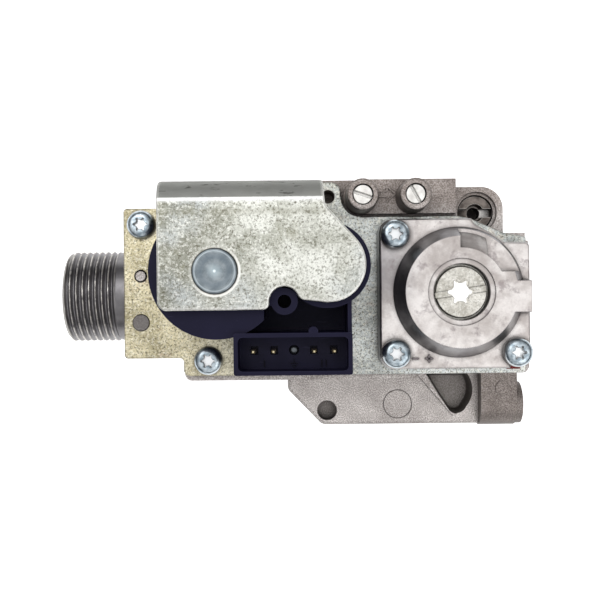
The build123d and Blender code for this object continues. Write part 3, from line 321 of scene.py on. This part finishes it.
def zinc_plate():
    """Yellow-beige passivated zinc on the cover plate, bluer towards the regulator."""
    f = Finish("zinc_plate", metallic=1.0)
    patches = f.noise(9, detail=5, roughness=0.65)
    warm = f.mix(f.mask(patches, 0.35, 0.65), tint("a89f80"), tint("dcd2b0"))
    cool = f.mix(f.mask(patches, 0.35, 0.65), tint("acb0ae"), tint("e6ebe9"))
    colour = f.mix(f.mask(f.along("X"), -82, -20), warm, cool)
    blush = f.mask(f.noise(6, detail=3, turn=40), 0.56, 0.72)
    colour = f.mix(f.sum("MULTIPLY", blush, 0.4), colour, tint("cbb09c"))
    spangle = f.cells(0.75)
    colour = f.speckle(colour, tint("4b4735"), tint("fbf7e6"), 0.95)
    # painted shade on upright faces, in corners and along edges
    colour = f.mix(f.sum("MULTIPLY", f.steep(), 0.5), colour, tint("3b382f"))
    colour = f.mix(f.sum("MULTIPLY", f.corners(2.5), 0.7), colour, tint("2e2b24"))
    f.colour(f.mix(f.sum("MULTIPLY", f.edges(0.25), 0.6), colour, tint("3d3a31")))
    f.roughness(f.level(f.noise(1.2), 0.24, 0.5))
    f.bump(spangle, 0.22, 0.03)
    f.bump(f.noise(0.5, detail=4), 0.3, 0.05)
    return f.material


def yoke_zinc():
    """Silvery zinc with warm speckle; a grey band of painted shade around the bend, painted highlights where
    the bend begins and along the rim, and painted shade in the gap round the rivet.
    """
    f = Finish("yoke_zinc", metallic=1.0)
    rivet = centre_of("core_1")
    bend_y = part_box("coil_yoke")[1][1] / MM - YOKE_BEND
    bend = f.mask(f.along("Y"), bend_y - 0.25, bend_y + 0.25)
    patches = f.noise(10, detail=5, roughness=0.6)
    colour = f.mix(f.mask(patches, 0.35, 0.65), tint("b9baae"), tint("eff0e8"))
    left = f.mask(f.along("X"), -46, -74)
    colour = f.mix(f.sum("MULTIPLY", left, 0.9), colour, f.mix(1.0, colour, tint("a6a69f"), "MULTIPLY"))
    bloom = f.mask(f.noise(17, detail=2, turn=25), 0.5, 0.7)
    colour = f.mix(f.sum("MULTIPLY", bloom, 0.55), colour, tint("c9cfd2"))
    spangle = f.cells(0.7)
    colour = f.speckle(colour, tint("5a5745"), tint("fdfdf6"), 0.85)
    stain = f.mask(f.noise(6, detail=5, roughness=0.7, stretch=(1, 0.5, 1)), 0.55, 0.68)
    colour = f.mix(f.sum("MULTIPLY", stain, 0.35), colour, tint("8d8a72"))
    scratches = f.mask(f.noise(0.9, detail=3, stretch=(0.08, 1, 1), turn=14), 0.66, 0.72)
    colour = f.mix(f.sum("MULTIPLY", scratches, 0.45), colour, tint("fffdf6"))
    # painted shade on the bend where the surface turns away, streaked; then a painted highlight where the
    # bend begins
    band = f.mix(f.noise(3, detail=4, stretch=(0.35, 1, 1)), tint("7d7e7a"), tint("a9aaa5"))
    drawn = f.mask(f.noise(1.1, detail=4, stretch=(0.25, 1, 1), turn=6), 0.60, 0.68)
    band = f.mix(f.sum("MULTIPLY", drawn, 0.7), band, tint("3b3a35"))
    colour = f.mix(bend, colour, band)
    shine = f.sum("MULTIPLY", f.mask(f.along("Y"), bend_y - 1.5, bend_y - 0.1), f.sum("SUBTRACT", 1.0, bend))
    colour = f.mix(f.sum("MULTIPLY", shine, 0.75), colour, tint("ffffff"))
    shadow = f.mask(f.sum("ABSOLUTE", f.sum("SUBTRACT", f.along("Y"), bend_y - 3.4)), 1.5, 0.0)
    colour = f.mix(f.sum("MULTIPLY", shadow, 0.3), colour, tint("77755f"))
    lit = f.mask(f.sum("SUBTRACT", f.along("X"), f.along("Y")), -72, -64)
    halo = f.sum("MULTIPLY", f.ring(rivet, 5.75, 6.3, 0.2), f.level(lit, 0.2, 0.8))
    colour = f.mix(halo, colour, tint("fffef8"))
    # painted shade in the gap between the rivet and the yoke
    colour = f.mix(f.ring(rivet, 5.0, 5.65, 0.1), colour, tint("16181a"))
    # painted highlight along the yoke's rounded rim
    f.colour(f.mix(f.sum("MULTIPLY", f.edges(1.0, 0.002, 0.05), 0.75), colour, tint("fffef9")))
    f.roughness(f.mix(bend, f.level(f.noise(1.3), 0.25, 0.45), (0.62, 0.62, 0.62, 1)))
    f.feed(f.shader.inputs["Metallic"], f.level(bend, 1.0, 0.55))
    f.bump(spangle, 0.2, 0.03)
    f.bump(f.noise(0.45, detail=4), 0.28, 0.045)
    return f.material


def bright_die_cast():
    """Smooth bright casting with faint purple-brown smudges, and painted shade along its edges, on its
    upright faces and in its inner corners.
    """
    f = Finish("bright_die_cast", metallic=0.95)
    patches = f.noise(8, detail=5, roughness=0.62)
    colour = f.mix(f.mask(patches, 0.35, 0.65), tint("c6beb9"), tint("fdf8f4"))
    left = f.sum("MULTIPLY", f.mask(f.along("X"), -9, -19), f.mask(f.along("Y"), -9, 4))
    streaks = f.level(f.noise(4, detail=4, stretch=(1, 0.4, 1), turn=35), 0.3, 0.9)
    colour = f.mix(f.sum("MULTIPLY", left, streaks), colour, tint("88868a"))
    smudge = f.mask(f.noise(5, detail=6, roughness=0.7, turn=30), 0.53, 0.68)
    colour = f.mix(f.sum("MULTIPLY", smudge, 0.6), colour, tint("87797a"))
    grain = f.noise(0.4, detail=3)
    colour = f.mix(f.level(grain, 0.0, 0.25), colour, tint("8f898b"))
    # painted shade: dark lines along edges, darker upright faces and near-black inner corners
    colour = f.mix(f.sum("MULTIPLY", f.edges(0.38), 0.85), colour, tint("3f393a"))
    colour = f.mix(f.sum("MULTIPLY", f.steep(), 0.75), colour, tint("585a60"))
    colour = f.mix(f.sum("MULTIPLY", f.corners(1.3, 0.14, 0.4), 0.85), colour, tint("231f20"))
    f.colour(colour)
    f.roughness(f.level(f.noise(1.5, detail=3), 0.26, 0.46))
    f.bump(grain, 0.22, 0.05)
    f.bump(f.noise(3, detail=2), 0.2, 0.2)
    return f.material


def thread_steel():
    """Dark machined steel, brighter on the thread's crests, partly wear and partly painted highlight, with
    painted shade in the valleys.
    """
    f = Finish("thread_steel", metallic=1.0)
    port = centre_of("inlet_spigot")
    dy = f.sum("SUBTRACT", f.along("Y"), port[1] / MM)
    dz = f.sum("SUBTRACT", f.along("Z"), port[2] / MM)
    radius = f.sum("SQRT", f.sum("ADD", f.sum("MULTIPLY", dy, dy), f.sum("MULTIPLY", dz, dz)))
    wear = f.noise(1.3, detail=4)
    crest = f.mask(radius, *THREAD_CREST_R)
    colour = f.mix(f.noise(2.0, detail=4), tint("6a686a"), tint("8b898a"))
    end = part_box("inlet_spigot")[0][0] / MM
    tip = f.mask(f.along("X"), end + 1.3, end + 0.9)
    colour = f.mix(f.sum("MULTIPLY", tip, 0.6), colour, tint("a19e98"))
    # brighter crests: partly wear, partly painted highlight
    colour = f.mix(f.sum("MULTIPLY", crest, f.mask(wear, 0.3, 0.6)), colour, tint("c4c0ba"))
    # painted shade in the thread's valleys
    f.colour(f.mix(f.sum("MULTIPLY", f.corners(0.8), 0.5), colour, tint("1a181b")))
    f.roughness(f.level(wear, 0.3, 0.46))
    f.bump(f.noise(0.5, stretch=(1, 0.2, 0.2)), 0.15, 0.04)
    return f.material


def bright_zinc(screws):
    """Blue-bright zinc of a set of screws, with a painted highlight on the floors of their recesses and
    painted shade along edges, on walls and in corners.
    """
    f = Finish(f"{screws}_zinc", metallic=1.0)
    colour = f.mix(f.mask(f.noise(1.4, detail=4), 0.35, 0.65), tint("8d9ba4"), tint("cbd6dc"))
    head_top = top_of(screws) / MM
    # painted highlight on the recess floors
    colour = f.mix(f.mask(f.along("Z"), head_top - 0.7, head_top - 1.0), colour, tint("fbfdfe"))
    # painted shade along edges, on upright faces and in corners
    colour = f.mix(f.sum("MULTIPLY", f.edges(0.33), 0.95), colour, tint("12171b"))
    colour = f.mix(f.sum("MULTIPLY", f.steep(0.7, 0.35), 0.7), colour, tint("20262b"))
    f.colour(f.mix(f.sum("MULTIPLY", f.corners(0.8), 0.25), colour, tint("12161a")))
    f.roughness(f.level(f.noise(0.8), 0.24, 0.36))
    f.bump(f.noise(0.5), 0.12, 0.03)
    return f.material


def turned_metal(name, centre, low, high, pitch, roughness, outline="f3f6f8"):
    """Lathe-turned metal with fine rings about its axis, painted shade in its corners and a painted line
    along its edges in the outline colour.
    """
    f = Finish(name, metallic=1.0)
    rings = f.turned(centre, pitch)
    colour = f.mix(f.mask(f.noise(2.2, detail=5), 0.3, 0.7), tint(low), tint(high))
    colour = f.mix(f.level(rings, 0.0, 0.12), colour, tint("ffffff"))
    # painted shade in corners, then a painted edge line in the outline colour
    colour = f.mix(f.sum("MULTIPLY", f.corners(0.9), 0.7), colour, tint("23262a"))
    f.colour(f.mix(f.sum("MULTIPLY", f.edges(0.3), 0.85), colour, tint(outline)))
    f.roughness(f.level(f.noise(1.0), roughness, roughness + 0.18))
    f.bump(rings, 0.18, 0.02)
    f.bump(f.noise(0.4), 0.15, 0.03)
    return f.material


def adjuster_zinc():
    """Speckled beige zinc of the adjusting screw, with painted shade along the edges of its slot and key hole
    and in its corners.
    """
    f = Finish("adjuster_zinc", metallic=1.0)
    colour = f.mix(f.mask(f.noise(3, detail=4), 0.35, 0.65), tint("bcb8ad"), tint("ece9e0"))
    colour = f.speckle(colour, tint("6b675c"), tint("fdfcf6"), 0.45)
    # painted shade along edges and in corners
    colour = f.mix(f.sum("MULTIPLY", f.edges(0.38), 0.95), colour, tint("201e1a"))
    f.colour(f.mix(f.sum("MULTIPLY", f.corners(1.0), 0.5), colour, tint("16140f")))
    f.roughness(f.level(f.noise(1.0), 0.28, 0.46))
    f.bump(f.noise(0.4, detail=3), 0.3, 0.04)
    return f.material


def rivet_steel():
    """Bluish plated rivet head: painted highlights on the pale centre, a tiny centre glint and the thin
    bright rim, a darker turned ring between, and painted shade on its upright sides.
    """
    f = Finish("rivet_steel", metallic=1.0)
    rivet = centre_of("core_1")
    radius = f.radius(rivet)
    colour = f.mix(f.mask(f.noise(2.2, detail=5), 0.3, 0.7), tint("727c82"), tint("979fa3"))
    # painted highlight on the pale centre
    pale = f.mask(radius, 2.4, 0.3)
    colour = f.mix(f.sum("MULTIPLY", pale, 0.45), colour, tint("c6d6dc"))
    colour = f.mix(f.sum("MULTIPLY", f.ring(rivet, 2.9, 4.2, 0.5), 0.5), colour, tint("66727b"))
    # painted highlight on the thin bright rim
    colour = f.mix(f.sum("MULTIPLY", f.ring(rivet, 4.75, 5.0, 0.12), 0.6), colour, tint("c3ced3"))
    # painted shade on the upright sides
    colour = f.mix(f.sum("MULTIPLY", f.steep(), 0.8), colour, tint("1b2024"))
    # painted glint at the very centre
    f.colour(f.mix(f.sum("MULTIPLY", f.mask(radius, 0.45, 0.25), 0.8), colour, tint("f2fbff")))
    f.roughness(f.level(f.noise(1.0), 0.3, 0.48))
    f.bump(f.turned(rivet, 0.36), 0.2, 0.02)
    return f.material


def plain_metal(name, low, high, roughness):
    """Drawn or stamped metal with light brushing."""
    f = Finish(name, metallic=1.0)
    brushed = f.noise(0.6, detail=4, stretch=(1, 1, 0.15))
    f.colour(f.mix(brushed, tint(low), tint(high)))
    f.roughness(f.level(f.noise(1.5), roughness, roughness + 0.15))
    f.bump(brushed, 0.15, 0.03)
    return f.material


def copper_wire():
    """Layers of enamelled wire."""
    f = Finish("copper_wire", metallic=1.0)
    layers = f.sum("SINE", f.sum("MULTIPLY", f.along("Z"), 2 * math.pi / 0.35))
    f.colour(f.mix(f.level(layers, 0.2, 0.8), tint("7a3a1c"), tint("c8743f")))
    f.roughness(f.level(f.noise(2), 0.25, 0.4))
    f.bump(layers, 0.6, 0.08)
    return f.material


def moulded_plastic(name, low, high, roughness, dust, gloss=0.5):
    """Satin moulding with a faint dust film, scuffs and grain."""
    f = Finish(name)
    f.shader.inputs["Specular IOR Level"].default_value = gloss
    colour = f.mix(f.noise(7, detail=4), tint(low), tint(high))
    film = f.mask(f.noise(0.9, detail=5, roughness=0.75), 0.58, 0.75)
    colour = f.mix(f.sum("MULTIPLY", film, 0.16), colour, tint(dust))
    scuffs = f.mask(f.noise(1.0, detail=3, stretch=(0.12, 1, 1), turn=-20), 0.67, 0.73)
    colour = f.mix(f.sum("MULTIPLY", scuffs, 0.2), colour, tint(dust))
    f.colour(f.mix(f.sum("MULTIPLY", f.edges(0.25), 0.3), colour, tint(dust)))
    f.roughness(f.level(f.noise(1.8, detail=3), roughness, roughness + 0.15))
    f.bump(f.noise(0.3, detail=2), 0.2, 0.02)
    return f.material


def rubber(name, low, high):
    f = Finish(name)
    f.colour(f.mix(f.noise(1.5, detail=4), tint(low), tint(high)))
    f.roughness(f.level(f.noise(0.8), 0.55, 0.75))
    f.bump(f.noise(0.25), 0.25, 0.02)
    return f.material


# ------------------------------------------------------------------ mesh helpers
def piece(name, mesh, material, body="casing", smooth=35):
    """A new object that rides on a body."""
    mesh.materials.append(material)
    mesh.shade_smooth()
    mesh.set_sharp_from_angle(angle=math.radians(smooth))
    made = bpy.data.objects.new(name, mesh)
    bpy.context.scene.collection.objects.link(made)
    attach(made, body)
    return made


def lathe(name, stations, surface_at, segments, centre):
    """Closed surface about the X axis; surface_at(station, angle) gives a point's X and radius."""
    work = bmesh.new()
    rings = []
    for station in stations:
        ring = []
        for k in range(segments):
            angle = 2 * math.pi * k / segments
            x, r = surface_at(station, angle)
            place = (x, centre[1] + r * math.cos(angle), centre[2] + r * math.sin(angle))
            ring.append(work.verts.new(place))
        rings.append(ring)
    for a, b in zip(rings, rings[1:] + rings[:1]):
        for k in range(segments):
            work.faces.new((a[k], a[(k + 1) % segments], b[(k + 1) % segments], b[k]))
    bmesh.ops.recalc_face_normals(work, faces=work.faces)
    mesh = bpy.data.meshes.new(name)
    work.to_mesh(mesh)
    work.free()
    return mesh


def raised_bars(name, bars, low, height):
    """Low rounded strokes standing on a flat face; each is (x, y, length, width, turn in degrees)."""
    work = bmesh.new()
    for x, y, length, width, turn in bars:
        place = Matrix.Translation((x, y, low + height / 2)) @ Matrix.Rotation(math.radians(turn), 4, "Z")
        size = Matrix.Diagonal((length, width, height, 1))
        made = bmesh.ops.create_cube(work, size=1, matrix=place @ size)
        upright = [e for e in {e for v in made["verts"] for e in v.link_edges}
                   if abs(e.verts[0].co.z - e.verts[1].co.z) > height / 2]
        bmesh.ops.bevel(work, geom=upright, offset=width * 0.45, segments=4, affect="EDGES")
    mesh = bpy.data.meshes.new(name)
    work.to_mesh(mesh)
    work.free()
    return mesh


# ------------------------------------------------------------------ CAD nodes and their finishes
SEAT_GLOW = 0.6
CAD_SMOOTH = 25          # degrees, sharper edges than this stay sharp

for node in nodes.values():
    if "custom_normal" in node.data.attributes:
        node.data.attributes.remove(node.data.attributes["custom_normal"])
    node.data.shade_smooth()
    node.data.set_sharp_from_angle(angle=math.radians(CAD_SMOOTH))

paint(cast_aluminium(), "valve_body")
paint(plug_casting(), "blanking_plug")
paint(zinc_plate(), "cover_plate")
paint(yoke_zinc(), "coil_yoke")
paint(bright_die_cast(), "regulator_housing", "throttle_disc")
for screws in ("cover_screws", "housing_screws"):
    paint(bright_zinc(screws), screws)
paint(rivet_steel(), "core_1")
paint(adjuster_zinc(), "adjusting_screw")
for side in ("in", "out"):
    screw = f"test_screw_{side}"
    # dark outline: painted shade along the test screws' edges
    nickel = turned_metal(f"nickel_{side}", centre_of(screw), "dcd9d3", "fdfbf6", 0.3, 0.26, outline="1f1d1c")
    paint(nickel, screw)
paint(plain_metal("drawn_brass", "a88c4a", "dcc283", 0.25), "armature_tube_1", "armature_tube_2")
paint(plain_metal("gold_contact", "bda878", "ede3c4", 0.2), "terminal_pins")
paint(plain_metal("earth_steel", "5b5f63", "83878b", 0.4), "earth_contact")
paint(plain_metal("plated_steel", "8d9196", "c4c8cb", 0.3), "core_2", "diaphragm_plate")
paint(plain_metal("plunger_steel", "75777a", "a9abad", 0.3), "plunger_1", "plunger_2", "governor_stem")
spring_steel = plain_metal("spring_steel", "6c6e72", "a4a6a9", 0.28)
paint(plain_metal("strainer_steel", "8b8c8a", "c3c4c1", 0.35), "inlet_strainer")
paint(copper_wire(), "coil_winding_1", "coil_winding_2")
navy = moulded_plastic("navy_plastic", "131228", "1c1a36", 0.36, dust="4d4b6a", gloss=0.14)
paint(navy, "coil_moulding")
white = moulded_plastic("white_plastic", "f6f6f4", "ffffff", 0.4, dust="e8e7e2")
glow(white, SEAT_GLOW)
paint(white, "spring_seat")
paint(rubber("black_rubber", "141414", "2a2929"), "cover_gasket", "valve_disc_1", "valve_disc_2",
      "test_seal_in", "test_seal_out", "outlet_o_ring")
paint(rubber("red_rubber", "5a1212", "8a1f1c"), "regulator_diaphragm")

# ------------------------------------------------------------------ threaded inlet spigot
PITCH = 1.814 * MM
THREAD_DEPTH = 0.95 * MM
NECK_R = 12.93 * MM
THREAD_LENGTH = 15.3 * MM
CHAMFER = 0.9 * MM
BORE_R = 9.5 * MM
FLANK_SHARE, FLANK_POWER = 0.84, 1.7     # how much of the pitch the flanks take, and how they curve
ROWS_PER_PITCH, SPIGOT_SEGMENTS = 14, 144
spigot_low, spigot_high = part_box("inlet_spigot")
port = centre_of("inlet_spigot")
major_r = (spigot_high[2] - spigot_low[2]) / 2
tip_x, seat_x = spigot_low[0], spigot_high[0]


def spigot_surface(station, angle):
    """Place and radius of one point: the bore and end faces are plain, the outside is a helical ridge."""
    x, kind = station
    if kind == "bore":
        return x, BORE_R
    if kind == "neck":
        return x, NECK_R
    phase = ((x - tip_x) / PITCH - angle / (2 * math.pi)) % 1.0
    slope = min(1.0, abs(2 * phase - 1) / FLANK_SHARE)
    r = major_r - THREAD_DEPTH * (1 - slope ** FLANK_POWER)
    r = min(r, major_r - CHAMFER + (x - tip_x))
    run_out = max(0.0, (x - tip_x - THREAD_LENGTH + PITCH) / PITCH)
    return x, r + (NECK_R - r) * min(run_out, 1.0) ** 2


ROWS = ROWS_PER_PITCH * round(THREAD_LENGTH / PITCH)
spigot_stations = [(tip_x + THREAD_LENGTH * k / ROWS, "thread") for k in range(ROWS + 1)]
spigot_stations += [(seat_x, "neck"), (seat_x, "bore"), (tip_x, "bore")]
spigot_mesh = lathe("threaded_spigot", spigot_stations, spigot_surface, SPIGOT_SEGMENTS, port)
spigot = piece("threaded_spigot", spigot_mesh, thread_steel(), smooth=50)
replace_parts(spigot, "inlet_spigot")

# ------------------------------------------------------------------ springs
STEPS_PER_TURN, WIRE_SIDES = 36, 10
PLUNGER_WIRE_R, PLUNGER_TURNS = 0.35 * MM, 5
REGULATOR_WIRE_R, REGULATOR_TURNS = 0.5 * MM, 1.5        # turns in each half


def wire_heights(node, wire_r):
    """Lowest and highest place of the wire's middle in a CAD spring."""
    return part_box(node)[0][2] + wire_r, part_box(node)[1][2] - wire_r


def spring_length(node, joint, wire_r, turns, low, high):
    """A stretch of round-wire spring between two heights, named after the joint."""
    box_low, box_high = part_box(node)
    centre = centre_of(node)
    mean_r = (box_high[0] - box_low[0]) / 2 - wire_r
    steps, sides = round(STEPS_PER_TURN * turns), WIRE_SIDES
    work = bmesh.new()
    rings = []
    for k in range(steps + 1):
        angle = 2 * math.pi * turns * k / steps
        out = Vector((math.cos(angle), math.sin(angle), 0))
        middle_of_wire = Vector((centre[0], centre[1], low + (high - low) * k / steps)) + mean_r * out
        rings.append([work.verts.new(middle_of_wire + wire_r * (math.cos(2 * math.pi * j / sides) * out
                                     + math.sin(2 * math.pi * j / sides) * Vector((0, 0, 1))))
                      for j in range(sides)])
    for a, b in zip(rings, rings[1:]):
        for j in range(sides):
            work.faces.new((a[j], a[(j + 1) % sides], b[(j + 1) % sides], b[j]))
    work.faces.new(rings[0])
    work.faces.new(rings[-1])
    bmesh.ops.recalc_face_normals(work, faces=work.faces)
    mesh = bpy.data.meshes.new(f"{node}_{joint}")
    work.to_mesh(mesh)
    work.free()
    made = piece(f"{node}_{joint}", mesh, spring_steel, smooth=60)
    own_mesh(made)
    return made


for number in (1, 2):
    node = f"plunger_spring_{number}"
    low, high = wire_heights(node, PLUNGER_WIRE_R)
    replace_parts(spring_length(node, f"armature_{number}_lift", PLUNGER_WIRE_R, PLUNGER_TURNS,
                              low, high), node)

# The regulator spring is made as two halves, the lower named after the governor and the upper after the
# adjuster.
low, high = wire_heights("regulator_spring", REGULATOR_WIRE_R)
halfway = (low + high) / 2
for joint, start, end, anchor_z in (("governor_lift", low, halfway, halfway + REGULATOR_WIRE_R),
                                    ("adjuster_travel", halfway, high, halfway - REGULATOR_WIRE_R)):
    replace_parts(spring_length("regulator_spring", joint, REGULATOR_WIRE_R, REGULATOR_TURNS,
                              start, end), "regulator_spring")

# ------------------------------------------------------------------ generic moulded marks
connector = centre_of("terminal_pins")
earth = centre_of("earth_contact")
marks_y = connector[1] - 3.3 * MM
marks = [(earth[0], marks_y + 0.7 * MM, 1.1 * MM, 0.28 * MM, 90)]
for row, length in enumerate((2.2, 1.4, 0.6)):
    marks.append((earth[0], marks_y - row * 0.55 * MM, length * MM, 0.26 * MM, 0))
for x, strokes in ((-7.5, 1), (7.5, 2)):
    for k in range(strokes):
        marks.append((earth[0] + (x + (k - (strokes - 1) / 2) * 1.1) * MM, marks_y, 2.0 * MM, 0.36 * MM, 90))
connector_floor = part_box("earth_contact")[1][2] + 0.3 * MM
piece("connector_marks", raised_bars("connector_marks", marks, connector_floor - 0.1 * MM, 0.45 * MM),
      moulded_plastic("mark_plastic", "090814", "100e1e", 0.4, "33314a", gloss=0.1))

HEAD_HEIGHT = 2.9 * MM
base_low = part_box("regulator_housing")[0]
housing_face = top_of("housing_screws") - HEAD_HEIGHT
range_marks = [(base_low[0] + dx * MM, base_low[1] + 2.8 * MM, length * MM, 0.55 * MM, turn)
               for dx, length, turn in ((9.4, 2.0, 0), (13.0, 2.4, 0), (13.0, 2.4, 90))]
# the raised range marks are given a darker casting colour
piece("range_marks", raised_bars("range_marks", range_marks, housing_face - 0.1 * MM, 0.5 * MM),
      plain_metal("dark_casting_marks", "6a6364", "8d8687", 0.45))

# ------------------------------------------------------------------ floor, light and camera
FLOOR_HALF, FLOOR_GLOW = 2, 0.75
SKY = ((0.30, (0.035, 0.035, 0.04, 1)), (0.85, (0.88, 0.88, 0.89, 1)))     # ramp positions and colours
LENS, CAMERA_HEIGHT, CAMERA_ROLL = 54.37, 0.2875, -0.6
CAMERA_SHIFT = (1.08 * MM, 2.3 * MM)     # of the camera's axis from the object's middle
SOFTBOXES = (                            # name, place from the middle, size, watts
    ("key", (-0.25, 0.35, 0.75), (0.5, 0.5), 1.6),
    ("fill", (0.45, -0.30, 0.60), (0.4, 0.6), 1.0),
    ("strip", (0.10, -0.60, 0.35), (0.9, 0.12), 0.5),
)

low, high = (Vector(corner) for corner in cad_box)
middle = (low + high) / 2

floor_mesh = bpy.data.meshes.new("floor")
floor_corners = [(x * FLOOR_HALF, y * FLOOR_HALF, low.z) for x, y in ((-1, -1), (1, -1), (1, 1), (-1, 1))]
floor_mesh.from_pydata(floor_corners, [], [(0, 1, 2, 3)])
floor = bpy.data.objects.new("floor", floor_mesh)
bpy.context.scene.collection.objects.link(floor)
pale = Finish("pale_floor", roughness=0.9)
pale.colour(pale.mix(pale.noise(40), tint("f7f7f6"), tint("fcfcfb")))
glow(pale.material, FLOOR_GLOW)
floor_mesh.materials.append(pale.material)

world = bpy.data.worlds.new("studio")
world.use_nodes = True
sky = world.node_tree.nodes
place = sky.new("ShaderNodeTexCoord")
split = sky.new("ShaderNodeSeparateXYZ")
fade = sky.new("ShaderNodeValToRGB")
for element, (position, colour) in zip(fade.color_ramp.elements, SKY):
    element.position = position
    element.color = colour
world.node_tree.links.new(place.outputs["Generated"], split.inputs[0])
world.node_tree.links.new(split.outputs["Z"], fade.inputs[0])
world.node_tree.links.new(fade.outputs[0], sky["Background"].inputs[0])
bpy.context.scene.world = world


def softbox(name, offset, size, power):
    """Area light aimed at the object's middle."""
    data = bpy.data.lights.new(name, "AREA")
    data.shape = "RECTANGLE"
    data.size, data.size_y = size
    data.energy = power
    lamp = bpy.data.objects.new(name, data)
    lamp.location = middle + Vector(offset)
    lamp.rotation_euler = (middle - lamp.location).to_track_quat("-Z", "Y").to_euler()
    bpy.context.scene.collection.objects.link(lamp)


for lamp_row in SOFTBOXES:
    softbox(*lamp_row)

camera_data = bpy.data.cameras.new("camera")
camera_data.sensor_width = 36
camera_data.lens = LENS
camera_data.clip_start = 0.01
camera = bpy.data.objects.new("camera", camera_data)
camera.location = (middle.x + CAMERA_SHIFT[0], middle.y + CAMERA_SHIFT[1], CAMERA_HEIGHT)
camera.rotation_euler = (0, 0, math.radians(CAMERA_ROLL))
bpy.context.scene.collection.objects.link(camera)
bpy.context.scene.camera = camera
bpy.context.scene.view_settings.view_transform = "Standard"
